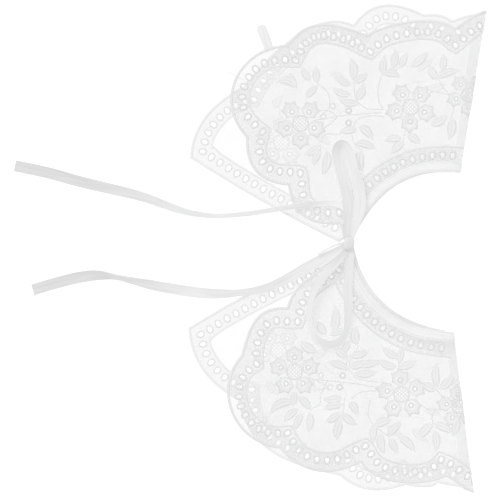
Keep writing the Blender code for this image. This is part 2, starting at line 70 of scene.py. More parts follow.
EDGE_CLEARANCE = 4.6
GRID = 4.5
GRID_CLEARANCE = GRID / 4
ROLL_CLEARANCE = GRID / 3
HOLE_CLEARANCE = 0.7
WELD = 1e-5
EDGE_STEP = 2.2
RIBBON_WIDTH = 10.0
RIBBON_CUP = 0.3
FLAT_CUP = 0.1
RUMPLE_LENGTH = 14.0
RUMPLE_HEIGHT = 0.3
PROBE = 0.2
TINY = PROBE**4

# Shares of a length, width or thickness of the bands and ribbons
STEP_AT_FOLD = 0.2
STEP_GROWTH = 0.3
GROOVE_PLACE = 0.72
GROOVE_WIDTH = 0.1
GROOVE_DEPTH = 0.22
BAND_ROUNDING = 0.75
RIBBON_SECTION = (-1.0, -0.86, -0.5, 0.0, 0.5, 0.86, 1.0)
CUP_LEVEL = 0.4
RUMPLE_TWIST = 0.8

# Counts
NECKBAND_COLUMNS = 9
EYELET_SIDES = 16
RIBBON_STEPS = 7
ROLL_STEPS = 16
LIP_STEPS = 24
STEM_STEPS = 7
LEAF_STEPS = 10
PETALS = 5
PETAL_TEETH = 7
PETAL_POINTS = 54
EYE_POINTS = PETAL_POINTS // 3
BARS = 3
DOT_POINTS = 12
SMALL_HOLE_POINTS = 14
KNOT_RINGS = 36
KNOT_SIDES = 48

# The shoulder roll, and the neck that the ripples spread from, in millimetres
ROLL_DEPTH_NECK = 7.0
ROLL_DEPTH_OUTER = 10.0
ROLL_HALF_HEIGHT_NECK = 4.0
ROLL_HALF_HEIGHT_OUTER = 7.0
ROLL_SLOPE = 58.0
ROLL_SPACING = 5.0
NECK_CENTRE = Vector((163.0, -3.0))
NECK_RADIUS = 78.0
RIPPLE_REACH = 125.0


def named(kind, *rows):
    """Rows of numbers under their names."""
    return tuple(kind(*row) for row in rows)


# x, y: where an edge ends. swell_in, swell_out: how far it bulges near its two ends, as a share of
# its length. grip: how far along the edge the two bulges lie. neck_step: how far the front panel's
# neck edge lies behind the back panel's.
Edge = namedtuple("Edge", "x y swell_in swell_out grip", defaults=(0.33,))
Ripple = namedtuple("Ripple", "bearing rise width")
Half = namedtuple("Half", "name side fold_neck fold_outer front back neck neck_step ripples")

UPPER = Half(
    name="upper",
    side=1,
    fold_neck=Vector((178.3, 63.8)),
    fold_outer=Vector((200.3, 201.1)),
    front=named(
        Edge,
        (76.3, 20.7, 0, 0), (32.3, 53.4, 0.3, 0.35), (-3.3, 94.2, 0.325, 0.325),
        (31.4, 172.9, 0.475, 0.425, 0.2), (99.8, 181.6, 0.375, 0.15),
        (173.5, 186.7, 0.125, 0.2, 0.2), (200.3, 201.1, 0.03, 0.12, 0.1),
    ),
    back=named(
        Edge,
        (75.5, 5.2, 0, 0), (-51, 76.8, 0.02, 0.02), (-6.1, 138, 0.225, 0.15),
        (87.6, 190.2, 0.075, 0.3, 0.2), (147.5, 198.9, 0.35, 0.225),
        (171.5, 193.8, 0.1, 0.18), (190.5, 199.4, 0.03, 0.05),
    ),
    neck=Edge(86.9, 5.6, 0.275, 0.225),
    neck_step=0.8,
    ripples=named(Ripple, (164, 1.6, 6), (146, 2, 7), (115, 2.4, 6), (98, 1.8, 6)),
)
LOWER = Half(
    name="lower",
    side=-1,
    fold_neck=Vector((172.6, -70.6)),
    fold_outer=Vector((189.5, -207.1)),
    front=named(
        Edge,
        (74.4, -5.6, 0, 0), (31.4, -50.2, 0, 0.2), (-7.6, -91, 0.4, 0.175),
        (25, -169.9, 0.425, 0.4, 0.2), (93.7, -182, 0.275, 0.25),
        (164.8, -193.3, 0.25, 0.175, 0.2), (189.5, -207.1, -0.08, 0.08, 0.1),
    ),
    back=named(
        Edge,
        (78.4, -1.4, 0, 0), (-52.7, -67.6, 0.03, 0.03), (-10.4, -128.9, 0.2, 0.175),
        (76.3, -193.3, 0.3, 0.15), (131.8, -201.1, 0.225, 0.175),
        (159.6, -199.5, 0.05, 0.22, 0.2), (180, -204, 0.03, -0.05, 0.2),
    ),
    neck=Edge(88.0, 1.4, 0.22, 0.25),
    neck_step=3.4,
    ripples=named(Ripple, (-163, 1.8, 6), (-144, 2.2, 7), (-123, 1.8, 6), (-106, 2.2, 6)),
)

# Ribbon routes. z is the height of the ribbon's lowest edge, roll tips it up from lying flat. A tail's
# last row and a loop's first and last rows lie in the knot, which the solids stop short of.
Knot = namedtuple("Knot", "x y z roll width")
TAIL_UPPER = named(
    Knot,
    (-199.9, 70.2, 0, 0, 9.5), (-172, 64.2, 0, 4, 9.5), (-144.9, 56.8, 0, 12, 9.5),
    (-117, 50.2, 0, 22, 9.5), (-90, 43.4, 0, 34, 9.5), (-66.3, 34.8, 0, 48, 9.5),
    (-48, 29.6, 0, 60, 9.5), (-27, 27.8, 0.1, 66, 9.5), (-4, 29.4, 0.6, 66, 9.5), (14, 32, 1.6, 62, 9),
    (30, 34.6, 2.8, 58, 8), (46, 36.8, 3.4, 46, 6.6), (60, 38.2, 3.2, 20, 5.2), (72, 37.8, 3, 0, 4.6),
    (80, 33.4, 3, 0, 4.6), (84, 24, 3, 0, 4.6), (83.8, 9.8, 3, 0, 4.6),
    (83.6, 6, 4.6, 0, 4.6),
)
TAIL_LOWER = named(
    Knot,
    (-184.8, -35.4, 0, 0, 9.5), (-165.2, -29.6, 0, 0, 9.5), (-144.9, -24.6, 0, 8, 9.5),
    (-128.6, -22.8, 0, 30, 9.5), (-114, -24.2, 0, 62, 9.5), (-99, -27.6, 0, 50, 9.5),
    (-78, -32.2, 0, 24, 9.5), (-56, -36, 0, 14, 9.5), (-33, -38.4, 0, 26, 9.5),
    (-10, -37.6, 0.8, 50, 9.5), (12, -34, 1.8, 42, 9.5), (31, -26, 2.7, 26, 9.5),
    (47, -16.8, 3.2, 12, 9.4), (60, -9.8, 3.2, 4, 9), (69, -4.8, 3, 0, 7.6), (77, -0.2, 3, 0, 5.6),
    (82, 2.8, 4.6, 0, 4.8),
)
LOOP_UPPER = named(
    Knot,
    (82.2, 6.4, 6, 0, 3.6),
    (81.2, 10.2, 5.2, 4, 4.4), (82.2, 23, 4.8, 8, 6.4), (83.2, 36, 4.6, 8, 9.6),
    (80.9, 50, 4.2, 14, 9.2), (77, 67, 3.6, 16, 10.6), (74.2, 79, 3.3, 20, 10.6),
    (74.8, 86.4, 3.2, 34, 10.6), (79.8, 87.2, 3.2, 36, 10.6), (83.8, 80, 3.2, 30, 10.6),
    (87.6, 67, 3.6, 38, 10.2), (92.2, 50, 4.2, 14, 10.4), (93, 36, 4.6, 10, 10), (90.4, 23, 4.8, 8, 8),
    (86.4, 10.2, 5.2, 4, 4.4), (85.2, 6.4, 6, 0, 3.6),
)
LOOP_LOWER = named(
    Knot,
    (82.4, 1.6, 6, 0, 3.6),
    (80.8, -2.4, 5.2, 8, 4.4), (72.8, -12, 5, 16, 7), (62.4, -23.4, 4.4, 30, 8.4),
    (53.6, -37.2, 3.8, 48, 8.6), (50, -52.4, 3.4, 58, 8.6), (51, -66.4, 3.2, 56, 8.8),
    (57.4, -77.4, 3.2, 46, 9.2), (67.6, -82, 3.2, 38, 9.5), (77.2, -77.4, 3.2, 44, 9.2),
    (82.2, -66, 3.2, 46, 8.8), (83, -48, 3.4, 30, 8.6), (82.6, -32, 3.8, 22, 8.6),
    (84, -17.6, 4.4, 14, 7), (86.2, -2.4, 5.2, 8, 4.4),
    (85.2, 1.6, 6, 0, 3.6),
)
# A narrow turn of ribbon that stands beside the lower tail
TURN = named(
    Knot,
    (80.4, 4.8, 4.6, 50, 3), (74, 3.2, 4.4, 58, 3.4), (67.2, 0.2, 4.4, 62, 3.4),
    (61.6, -2.9, 4.3, 62, 3.2), (57.4, -5.6, 4.3, 50, 2.8),
)
TAB = named(
    Knot,
    (16.4, 168, 0, 0, 8.4), (14.2, 174.6, 0, 0, 8.4), (11.6, 181.6, 0, 0, 8.8), (9.9, 186.4, 0, 0, 8.4),
    (9.2, 188.6, 0, 0, 6.8), (8.9, 189.6, 0, 0, 3.8),
)
# The knot's place and half size in millimetres, the powers that round it, and its relief on a pad of
# half size 1
KNOT_CENTRE = (83.8, 4.0, 7.0)
KNOT_HALF_SIZE = (4.7, 5.5, 4.2)
KNOT_ROUNDNESS = 0.4
KNOT_SQUARENESS = 0.7
KNOT_REACH = 0.97
KNOT_FOLDS = 7.0
KNOT_SLANT = 2.2
KNOT_FOLD_START = 0.6
KNOT_FOLD_DEPTH = 0.025
KNOT_WAVES = 1.7
KNOT_WAVE_DEPTH = 0.05

# How far from a tail's free end its satin begins to grow light, over what length, and how far along
# the shorter pieces start, in millimetres
# The satin's darkening towards a tail's free end is painted shade, for the tilting satin's reflection; the
# starts set where the loops, knot, tab and turn sit on it.
FADE_START = 55.0
FADE_LENGTH = 90.0
LOOP_UPPER_START = 80.0
LOOP_LOWER_START = 60.0
TAB_START = 140.0
TURN_START = 90.0

# How deep a row lies inside the panel's edge: along a curve, at an inward cusp and at an outward corner
Row = namedtuple("Row", "depth at_cusp at_corner sharpness")
EYELET_ROW = Row(10.0, 14.8, 12.0, 4)
INNER_ROW = Row(16.2, 21.5, 21.4, 6)

# Soft creases of the front panels
CREASE_HEIGHT = 1.1
CREASE_LENGTH = 26.0
CREASE_FADE = 30.0
CREASE_SEED = 7.0

# Cross-sections of stitching: how far across, how high or low, and how light the thread lies, as shares
# The lightness is in part painted shade: darker at a thread's foot, in a leaf's middle groove and underneath,
# and lighter on its crown. In part it is the darker outer zone of petals and the outlines of leaves.
Point = namedtuple("Point", "across height shade")
CORD = named(
    Point,
    (-1, 0, 0.2), (-0.7, 0.7, 0.3), (0, 1, 0.6), (0.7, 0.7, 0.3), (1, 0, 0.2), (0.7, -0.5, 0.1),
    (-0.7, -0.5, 0.1),
)
LEAF_SECTION = named(
    Point,
    (-1, 0, 0), (-0.8, 0.8, 0.2), (-0.5, 1, 0.8), (-0.16, 0.8, 0.8), (0, 0.4, 0.1), (0.16, 0.8, 0.8),
    (0.5, 1, 0.8), (0.8, 0.8, 0.2), (1, 0, 0), (0.5, -0.6, 0), (-0.5, -0.6, 0),
)
RIM = named(
    Point,
    (-0.06, -0.5, 0.1), (0, 0.5, 0.1), (0.5, 1, 0.4), (0.95, 0.55, 0.1), (1, -0.2, 0.1),
    (0.5, -0.8, 0.1),
)
PETAL = named(
    Point,
    (-0.02, -0.5, 0.4), (0, 0.7, 0.5), (0.14, 1, 0.9), (0.4, 0.7, 0.7), (0.7, 0.8, 0.35), (0.9, 1, 0.15),
    (1, 0.1, 0.1), (0.6, -0.8, 0.3), (0.3, -0.8, 0.3),
)

# Sizes of the stitching in millimetres, with a width before a height. A grain is how coarse the
# stitches lie, beside the finest.
EDGE_CORD = (2.3, 0.42)
INNER_CORD = (1.7, 0.34)
STEM = (0.9, 0.3)
STITCH_HEIGHT = 0.4
CORD_GRAIN = 1.8
LEAF_GRAIN = 3.4
PETAL_GRAIN = 3.0
PETAL_REACH = 12.3
PETAL_HOLE = 1.25
PETAL_EYE = 2.6
PETAL_GAP = 4.0
PETAL_SIZE = 7.0
PETAL_LENGTHENING = 1.8
PETAL_TOOTH = 3.0
BAR_WIDTH = 0.5
BAR_LAP_IN = 0.2
BAR_LAP_OUT = 0.3
HEART_RADIUS = 7.1
HEART_THREAD = 0.86
HEART_MESH = 2.3
HEART_HEIGHT = 0.36
HEART_RIM = 1.1
HEART_LAP = 0.8
HEART_HOLE_MARGIN = 0.9
DOT_HOLE = 1.2
DOT_SIZE = 3.0
SMALL_HOLE_ROOM = 1.0

# Shares and powers in the stitching's shape, and how much lighter the covered stitching is
EDGE_INSET = 0.45
POINT_HEIGHT = 0.35
HEIGHT_GROWTH = 1.3
LEAF_FULLNESS = 1.36
LEAF_TOOTH = 0.14
LEAF_POINT = 0.07
LEAF_BELLY = 0.85
LEAF_BLUNTNESS = 0.8
TOOTH_MIDDLE = 0.6
BAR_HEIGHT = 0.6
DOT_HEIGHT = 1.2
UNDER_LIFT = 0.4
COVERED_LIFT = 0.4

# Periods and places in the looks, in millimetres
WEAVE = 0.45
STITCH_PITCH = 0.42
DASH_PITCH = 2.4
DASH_WIDTH = 0.56
TWILL = 0.5
RIB_PITCH = 0.5
SATIN_PITCH = 0.35
SELVEDGE = 4.35

# How far the stitches slant, for each step across
STITCH_SLANT = 0.9

# Colours, linear, and how opaque the cloth is
ORGANZA_DARK = (0.64, 0.64, 0.645)
ORGANZA_LIGHT = (0.80, 0.80, 0.80)
# The fold's cloth is more opaque than the field, so darker over the table: partly the denser look of cloth
# seen on the slant, partly painted shade of the roll.
FOLD_DARK = (0.66, 0.66, 0.67)
FOLD_LIGHT = (0.80, 0.80, 0.805)
BORDER_DARK = (0.62, 0.62, 0.625)
BORDER_LIGHT = (0.74, 0.74, 0.74)
THREAD_DARK = (0.62, 0.62, 0.625)
THREAD_LIGHT = (0.88, 0.88, 0.88)
BAND_DARK = (0.79, 0.79, 0.795)
BAND_LIGHT = (0.91, 0.91, 0.91)
RIBBON_DARK = (0.62, 0.62, 0.63)
RIBBON_LIGHT = (0.88, 0.88, 0.885)
# A darker copy of the ribbon's satin, for the loops, the knot and the turn: painted shade.
BOW_DARK = (0.63, 0.63, 0.64)
BOW_LIGHT = (0.84, 0.84, 0.845)
PAPER_DARK = (0.49, 0.49, 0.49)
PAPER_LIGHT = (0.51, 0.51, 0.51)
WHITE = (1.0, 1.0, 1.0, 1.0)
ORGANZA_ALPHA = 0.22
# The fold's higher opacity darkens it: in part painted shade.
FOLD_ALPHA = 0.3
BORDER_ALPHA = 0.26
BACK_BORDER_ALPHA = 0.3
SPECULAR = 0.3

# Table, lights and camera, in metres
TABLE_REACH = 2.0
TABLE_DROP = 0.0002
TABLE_GLOW = 0.6
WORLD_LIGHT = 0.95
SUN_LIGHT = 0.6
CAMERA_HEIGHT = 3.0
PICTURE_WIDTH = 0.425
CAMERA_CENTRE = (-0.00017, -0.00145)
SENSOR_WIDTH = 36.0

# Where the worked motifs lie, as seen from above. Generic leaves and five-petalled flowers.
Flower = namedtuple("Flower", "x y turn size")
Leaf = namedtuple("Leaf", "x y tip_x tip_y width bend")
Motifs = namedtuple("Motifs", "flowers dots leaves stems")
MOTIFS = {
    "front_upper": Motifs(
        flowers=named(Flower, (42.7, 106.1, -90, 1), (136.2, 120, -93, 1), (185, 130, -90, 0.85)),
        dots=((83.5, 117.0), (83.5, 106.8)),
        leaves=named(
            Leaf,
            (51, 142, 44, 155, 5, 0.05), (57, 140, 56.5, 155, 5.2, 0.05), (47, 128, 58, 139, 5, 0),
            (40, 136, 22, 141, 6, -0.22), (40, 138, 35, 150, 4, 0.12), (87, 143, 85, 161, 6.2, -0.1),
            (86, 139, 73, 148, 5, 0.12), (88, 141, 100, 149, 5, -0.06), (86, 131, 70, 137, 5.2, 0.15),
            (90, 126, 96, 140, 6, -0.1), (93, 124, 75, 127, 5.4, 0.12), (91, 101, 76, 98, 5.8, -0.06),
            (92, 104, 104, 92, 6, 0.1), (89, 89, 107, 84, 5.6, 0.1), (95, 83, 96, 65, 7, -0.16),
            (60, 88, 46, 80, 5.6, 0.1), (60, 83, 54, 70, 5.2, -0.1), (65, 83, 61, 62, 6.2, 0.1),
            (129, 93, 114, 91, 5.2, -0.08), (133, 97, 144, 88, 5.6, 0.08), (131, 91, 120, 80, 6, -0.06),
            (153, 105, 167, 113, 6, -0.1), (170, 111, 168, 92, 6.4, 0.1),
            (113, 147, 115, 164, 5.2, 0.06), (121, 152, 123, 170, 5.2, -0.06),
            (112, 149, 128, 145, 5.4, 0.1), (136, 154, 151, 167, 5.6, -0.06),
            (128, 153, 134, 166, 5, 0.06), (159, 143, 152, 156, 5.4, 0.08),
            (158, 144, 178, 150, 5.6, 0.1), (162, 150, 164, 165, 5, -0.06),
        ),
        stems=(
            ((57, 140), (66, 132), (67, 120), (58, 111)),
            ((56, 117), (66, 117), (73, 111), (64, 103), (57, 97)),
            ((55, 109), (76, 112.5), (93, 114), (112, 115.5)),
            ((88, 104), (92, 110), (102, 112.5), (114, 112)),
            ((87, 161), (88, 143), (90, 127), (99, 119), (113, 118)),
            ((113, 150), (109, 139), (109, 126), (113, 118)), ((59, 89), (64, 97), (74, 97), (82, 99)),
            ((86, 99), (88, 90), (93, 84)), ((146, 129), (155, 132.5), (166, 131)),
            ((160, 143), (163, 137), (168, 132)), ((166, 131), (173, 126), (172, 117), (170, 110)),
            ((133, 103), (131, 96), (130, 91)),
        ),
    ),
    "front_lower": Motifs(
        flowers=named(Flower, (37.6, -104.8, 90, 1), (128.4, -123.9, 95, 1), (177, -134, 96, 0.85)),
        dots=((78.5, -108.0), (76.0, -118.0)),
        leaves=named(
            Leaf,
            (43, -79, 58, -88, 6.4, -0.1), (64.5, -73, 57, -61.5, 5.4, 0.06),
            (70.5, -72, 72.5, -49, 6.2, -0.06), (68, -74, 81, -70, 5, 0.08), (72, -86, 83, -95, 6, 0.08),
            (79, -89, 86, -78, 5.4, 0.06), (91, -82, 90.5, -66, 6.6, 0.12),
            (84, -91, 101, -87, 5.2, -0.08), (83, -103, 66, -97, 5.6, -0.08),
            (84, -101, 98, -95, 5.6, -0.08), (92, -101, 112, -97, 5.4, 0.05),
            (88, -106, 108, -105, 5.6, -0.06), (126, -93, 112, -84, 5.4, 0.06),
            (127, -98, 130, -83, 4.8, 0.05), (124, -101, 109, -95, 5.6, 0.08),
            (125, -101, 141, -95, 5.6, -0.08), (158, -120, 145, -113, 5.8, 0.08),
            (159, -118, 158.5, -97, 5.6, 0.08), (160, -119, 172, -107, 6, -0.1),
            (78, -126, 62, -128, 5.6, 0.1), (84, -130, 91, -142, 5.6, 0.08),
            (79, -133, 62, -137, 5.6, -0.08), (76, -139, 64, -147, 5.4, 0.08),
            (78, -139, 91, -150, 5.6, -0.08), (77, -146, 74, -163, 6.4, -0.08),
            (38, -131, 17, -141, 6.2, -0.2), (41, -137, 29, -148, 5.4, -0.1),
            (45, -140, 38, -155, 5.2, -0.08), (50, -139, 49.5, -156, 5.2, 0.08),
            (41, -126, 51, -138, 5.6, 0.08), (37, -121, 36, -134, 5, 0.06),
            (106, -152, 121, -146, 6, 0.12), (106, -149, 105, -166, 5.2, -0.06),
            (117, -160, 129, -147, 5.4, 0.06), (111, -157, 114, -175, 6, -0.08),
            (119, -160, 126, -174, 5.2, -0.06), (125, -160, 140, -173, 6, 0.1),
            (144, -161, 156, -148, 6, 0.08), (155, -149, 172, -157, 5.8, 0.08),
            (156, -154, 157, -172, 5.6, 0.08), (174, -142, 171, -159, 5.6, 0.1),
        ),
        stems=(
            ((56, -112), (66, -118), (56, -120)), ((51, -137), (59, -132), (60, -124), (66, -112)),
            ((52, -111), (76, -113.5), (90, -115), (108, -118)), ((84, -103), (92, -111), (108, -113.5)),
            ((86, -128), (94, -122), (108, -121)), ((80, -127), (79, -139), (76, -152)),
            ((84, -103), (85, -95), (92, -83)), ((83, -95), (80, -103), (84, -103)),
            ((102, -129), (100, -140), (105, -150), (118, -160)),
            ((145, -133), (152, -136.5), (162, -136)), ((156, -150), (154, -143), (157, -136)),
            ((158, -120), (163, -126), (168, -131)), ((126, -108), (126, -101), (126, -94)),
        ),
    ),
    "back_upper": Motifs(
        flowers=(Flower(26.3, 90.2, 234, 1.0),),
        dots=((62, 112), (70, 121), (12.9, 138.6), (17.0, 146.0)),
        leaves=named(
            Leaf,
            (54, 96, 68, 88, 5.6, 0.1), (52, 112, 58, 126, 5.4, 0.08), (80, 140, 66, 150, 5.6, -0.1),
            (118, 150, 132, 158, 5.6, 0.1), (142, 150, 156, 160, 5.4, 0.08),
            (150, 136, 166, 140, 5.6, -0.1), (126, 112, 142, 104, 5.4, 0.08),
            (20, 118, 28, 130, 5.2, 0.08),
        ),
        stems=(
            ((49, 92), (66, 104), (80, 118), (86, 128)), ((120, 134), (134, 140), (150, 142)),
            ((30, 102), (26, 112), (24, 124)),
            ((-5.5, 142.8), (-9.5, 145), (-14, 147.2), (-18.9, 150.2)),
        ),
    ),
    "back_lower": Motifs(
        flowers=(Flower(24.0, -86.5, -234, 1.0),),
        dots=((60, -108), (68, -118), (5.5, -129.5), (12.5, -145.5)),
        leaves=named(
            Leaf,
            (52, -92, 66, -84, 5.6, -0.1), (50, -108, 56, -122, 5.4, -0.08),
            (78, -138, 64, -148, 5.6, 0.1), (116, -150, 130, -158, 5.6, -0.1),
            (138, -152, 152, -164, 5.4, -0.08), (148, -138, 162, -142, 5.6, 0.1),
            (122, -114, 138, -106, 5.4, -0.08), (14, -112, 24, -124, 5.2, -0.08),
        ),
        stems=(
            ((47, -88), (64, -100), (78, -116), (82, -126)), ((117, -136), (132, -142), (148, -144)),
            ((28, -98), (24, -108), (20, -118)),
        ),
    ),
}


def smooth(share):
    share = min(1.0, max(0.0, share))
    return share * share * (3.0 - 2.0 * share)


def mix(start, end, share):
    return start + (end - start) * share


def ray(angle):
    return Vector((math.cos(angle), math.sin(angle)))


def left_of(direction):
    return Vector((-direction.y, direction.x))


def heading(points, i):
    """The direction of a line at its point i."""
    return (points[min(i + 1, len(points) - 1)] - points[max(i - 1, 0)]).normalized()


def spline(a, b, c, d, t):
    """The value at t between b and c of a smooth curve through four."""
    bend = (a * 2 - b * 5 + c * 4 - d) * t**2 + (b * 3 - a - c * 3 + d) * t**3
    return b + ((c - a) * t + bend) / 2


def four_about(rows, n):
    """Rows n - 1 to n + 2, the end rows repeated."""
    return [rows[min(len(rows) - 1, max(0, n + k))] for k in (-1, 0, 1, 2)]


# The shoulder roll
class Shoulder:
    """Turns the flat pattern of a half into its folded place, and back.

    The pattern is measured from the line of the fold: u is the distance inside it, v runs along it
    from the neck. Inside the roll's depth, pattern and plan agree.
    """

    def __init__(self, half):
        self.half = half
        along = half.fold_outer - half.fold_neck
        self.length = along.length
        self.along = along.normalized()
        self.inward = left_of(self.along) * half.side

    def depth(self, v):
        return mix(ROLL_DEPTH_NECK, ROLL_DEPTH_OUTER, v / self.length)

    def half_height(self, v):
        return mix(ROLL_HALF_HEIGHT_NECK, ROLL_HALF_HEIGHT_OUTER, v / self.length)

    def radius(self, v):
        return (self.depth(v) + self.half_height(v)) / 2

    def to_uv(self, point):
        offset = Vector(point[:2]) - self.half.fold_neck
        return offset.dot(self.inward), offset.dot(self.along)

    def to_xy(self, u, v):
        return self.half.fold_neck + self.inward * u + self.along * v

    def unfold(self, point):
        """The pattern point of a plan point on the upper side of the roll."""
        u, v = self.to_uv(point)
        depth = self.depth(v)
        if u >= depth:
            return Vector(point)
        return self.turned(v, math.asin(min(1.0, 1.0 - u / depth)))

    def turned(self, v, turn):
        """The pattern point that lies this far round the roll, as an angle from its crest."""
        return self.to_xy(self.depth(v) - turn * self.radius(v), v)

    def carried(self, point, turn):
        """The pattern point level with a plan point, this far round the roll."""
        return self.turned(self.to_uv(point)[1], turn)

    def spare(self, point, turn=0.0):
        """How far a plan point lies inside the line of the roll at this turn."""
        u, v = self.to_uv(point)
        return u - self.depth(v) * (1.0 - math.sin(turn))

    def front_middle(self, point):
        """The middle of the front panel's wall above or round this pattern point."""
        u, v = self.to_uv(point)
        depth = self.depth(v)
        half_height = self.half_height(v)
        if u >= depth:
            rise = 2 * half_height + BACK_MID - FRONT_MID
            fade = smooth((u - depth) / ROLL_SLOPE)
            height = FRONT_MID + rise * smooth(1.0 - (u - depth) / ROLL_SLOPE)
            return Vector((point[0], point[1], height + fade * ripple(self.half, point)))
        turn = (depth - u) / self.radius(v)
        flat = self.to_xy(depth * (1.0 - math.sin(turn)), v)
        return Vector((*flat, BACK_MID + half_height * (1.0 + math.cos(turn))))


def ripple(half, point):
    """The soft waves that spread from the neck to the outer edge."""
    arm = Vector(point[:2]) - NECK_CENTRE
    bearing = math.degrees(math.atan2(arm.y, arm.x))
    waves = (row.rise * math.exp(-(((bearing - row.bearing) / row.width) ** 2)) for row in half.ripples)
    return smooth((arm.length - NECK_RADIUS) / RIPPLE_REACH) * sum(waves)


# Flat outlines
def arc(start, row, side):
    """Points from start to the end of this edge, which swells to the outside of the panel."""
    end = Vector((row.x, row.y))
    chord = end - start
    outward = left_of(chord) * side
    first = start + chord * row.grip + outward * row.swell_in
    second = start + chord * (1.0 - row.grip) + outward * row.swell_out
    steps = max(1, round(chord.length * (1.0 + abs(row.swell_in)) / EDGE_STEP))
    if row.swell_in == 0 and row.swell_out == 0:
        steps = max(1, round(steps / 2))
    return [bezier(start, first, second, end, i / steps) for i in range(steps + 1)]


def bezier(a, b, c, d, t):
    s = 1.0 - t
    return a * s**3 + b * 3 * s * s * t + c * 3 * s * t * t + d * t**3


def edge_curves(start, rows, side):
    curves = []
    for row in rows:
        curves.append(arc(start, row, side))
        start = Vector((row.x, row.y))
    return curves


def joined(curves):
    """One line through curves that follow each other."""
    return list(curves[0]) + [point for curve in curves[1:] for point in curve[1:]]


def lengths_along(line):
    lengths = [0.0]
    for a, b in zip(line, line[1:]):
        lengths.append(lengths[-1] + (b - a).length)
    return lengths


def neck_curve(half, shift, step=0.0):
    """The neck edge from the fold to the knot, moved this far into the panel, and by a step that grows."""
    points = arc(half.fold_neck, half.neck, -half.side)
    moved = []
    for i, point in enumerate(points):
        grown = smooth(i / (len(points) - 1) / STEP_GROWTH)
        reach = shift + step * mix(STEP_AT_FOLD, 1.0, grown)
        moved.append(point - left_of(heading(points, i)) * half.side * reach)
    return moved


def round_the_fold(shoulder, points):
    """Carries a neck curve, which starts at the fold, round the roll to the back panel."""
    above = across_roll(shoulder, points[::-1])
    under = [shoulder.carried(p, math.pi - turn) for p, turn in above[:-1]]
    flat = [p for p in points if shoulder.to_uv(p)[0] > shoulder.depth(0.0) + SEAM]
    return under + [shoulder.carried(p, turn) for p, turn in above[::-1]] + flat


def across_roll(shoulder, line):
    """Where a plan line that ends at the fold meets each step of the roll, from its crest down."""
    met = []
    for step in range(ROLL_STEPS // 2 + 1):
        turn = math.pi * step / ROLL_STEPS
        found = line[-1]
        for a, b in zip(line, line[1:]):
            spare_a, spare_b = shoulder.spare(a, turn), shoulder.spare(b, turn)
            if spare_a >= 0 > spare_b:
                found = a.lerp(b, spare_a / (spare_a - spare_b))
        met.append((found, turn))
    return met


def clear_of_lip(shoulder, line):
    """Keeps a line of the back panel beyond the end of the roll."""
    places = [shoulder.to_uv(point) for point in line]
    return [shoulder.to_xy(max(u, shoulder.depth(v) + PROBE), v) for u, v in places]


def plan(points):
    return np.array([(p[0], p[1]) for p in points])


def gap_to(points, line, closed=True):
    """How far each point lies from a line or loop."""
    p, a = plan(points), plan(line)
    b = np.roll(a, -1, axis=0)
    if not closed:
        a, b = a[:-1], b[:-1]
    side = b - a
    square = np.maximum((side**2).sum(1), TINY)
    offset = p[:, None] - a[None]
    share = np.clip((offset * side).sum(2) / square, 0, 1)
    return np.sqrt(((offset - side * share[..., None]) ** 2).sum(2)).min(1)


def within(points, loops):
    """Whether each point lies inside an odd number of the loops."""
    p = plan(points)
    odd = np.zeros(len(p), bool)
    for loop in loops:
        for a, b in zip(loop, loop[1:] + loop[:1]):
            if a.y != b.y:
                spans = (a.y > p[:, 1]) != (b.y > p[:, 1])
                odd ^= spans & (p[:, 0] < a.x + (p[:, 1] - a.y) * (b.x - a.x) / (b.y - a.y))
    return odd


# Rows of eyelets and the stitched line inside them
def corner_between(before, after, side, row):
    """The way into the panel at the corner where two curves meet, and how deep the row lies there."""
    arriving = (before[-1] - before[-2]).normalized()
    leaving = (after[1] - after[0]).normalized()
    points_out = arriving.cross(leaving) * side < 0
    inward = left_of((arriving + leaving).normalized()) * -side
    return inward, row.at_corner if points_out else row.at_cusp


def rows_inside(curves, side, row):
    """The line of a row inside each curve, drawn deeper where two of them meet."""
    corners = [None] + [corner_between(a, b, side, row) for a, b in zip(curves, curves[1:])] + [None]
    rows = []
    for n, points in enumerate(curves):
        line = []
        for i, point in enumerate(points):
            inward = left_of(heading(points, i)) * -side
            share = 2.0 * i / (len(points) - 1) - 1.0
            corner = corners[n] if share < 0 else corners[n + 1]
            depth = row.depth
            if corner:
                weight = abs(share) ** row.sharpness
                inward = inward.lerp(corner[0], weight).normalized()
                depth = mix(row.depth, corner[1], weight)
            line.append(point + inward * depth)
        rows.append(line)
    return rows


def spaced(line, whole=True):
    """Points a pitch apart from the start of a line, with their directions."""
    lengths = lengths_along(line)
    count = max(1, round(lengths[-1] / EYELET_PITCH))
    pitch = lengths[-1] / count if whole else EYELET_PITCH
    found = []
    for n in range(count):
        wanted = min(pitch * n, lengths[-1])
        i = max(k for k in range(len(line) - 1) if lengths[k] <= wanted)
        share = (wanted - lengths[i]) / max(TINY, lengths[i + 1] - lengths[i])
        found.append((line[i].lerp(line[i + 1], share), line[i + 1] - line[i]))
    return found


def eyelet(centre, direction, side, grow=0.0):
    """A pointed oval across the row, its point towards the panel's edge."""
    across = direction.normalized()
    outward = left_of(across) * side
    loop = []
    for i in range(EYELET_SIDES):
        angle = 2 * math.pi * i / EYELET_SIDES
        reach = (EYELET_LENGTH / 2 + grow) * math.cos(angle) + EYELET_POINT * math.cos(2 * angle)
        loop.append(centre + outward * reach + across * ((EYELET_WIDTH / 2 + grow) * math.sin(angle)))
    return loop


def circle(centre, radius, count):
    """A loop of points round a centre."""
    return [centre + ray(2 * math.pi * i / count) * radius for i in range(count)]


def clear_places(outline, places):
    """The eyelets that lie clear of the outline and of each other."""
    kept = []
    for centre, direction in places:
        apart = all((centre - other).length > LEAST_PITCH for other, _ in kept)
        if apart and in_loop(outline, centre, EDGE_CLEARANCE):
            kept.append((centre, direction))
    return kept


def in_loop(outline, point, room):
    """Whether a point lies in a loop, this far from it at least."""
    return bool(within([point], [outline])[0] and gap_to([point], outline)[0] > room)


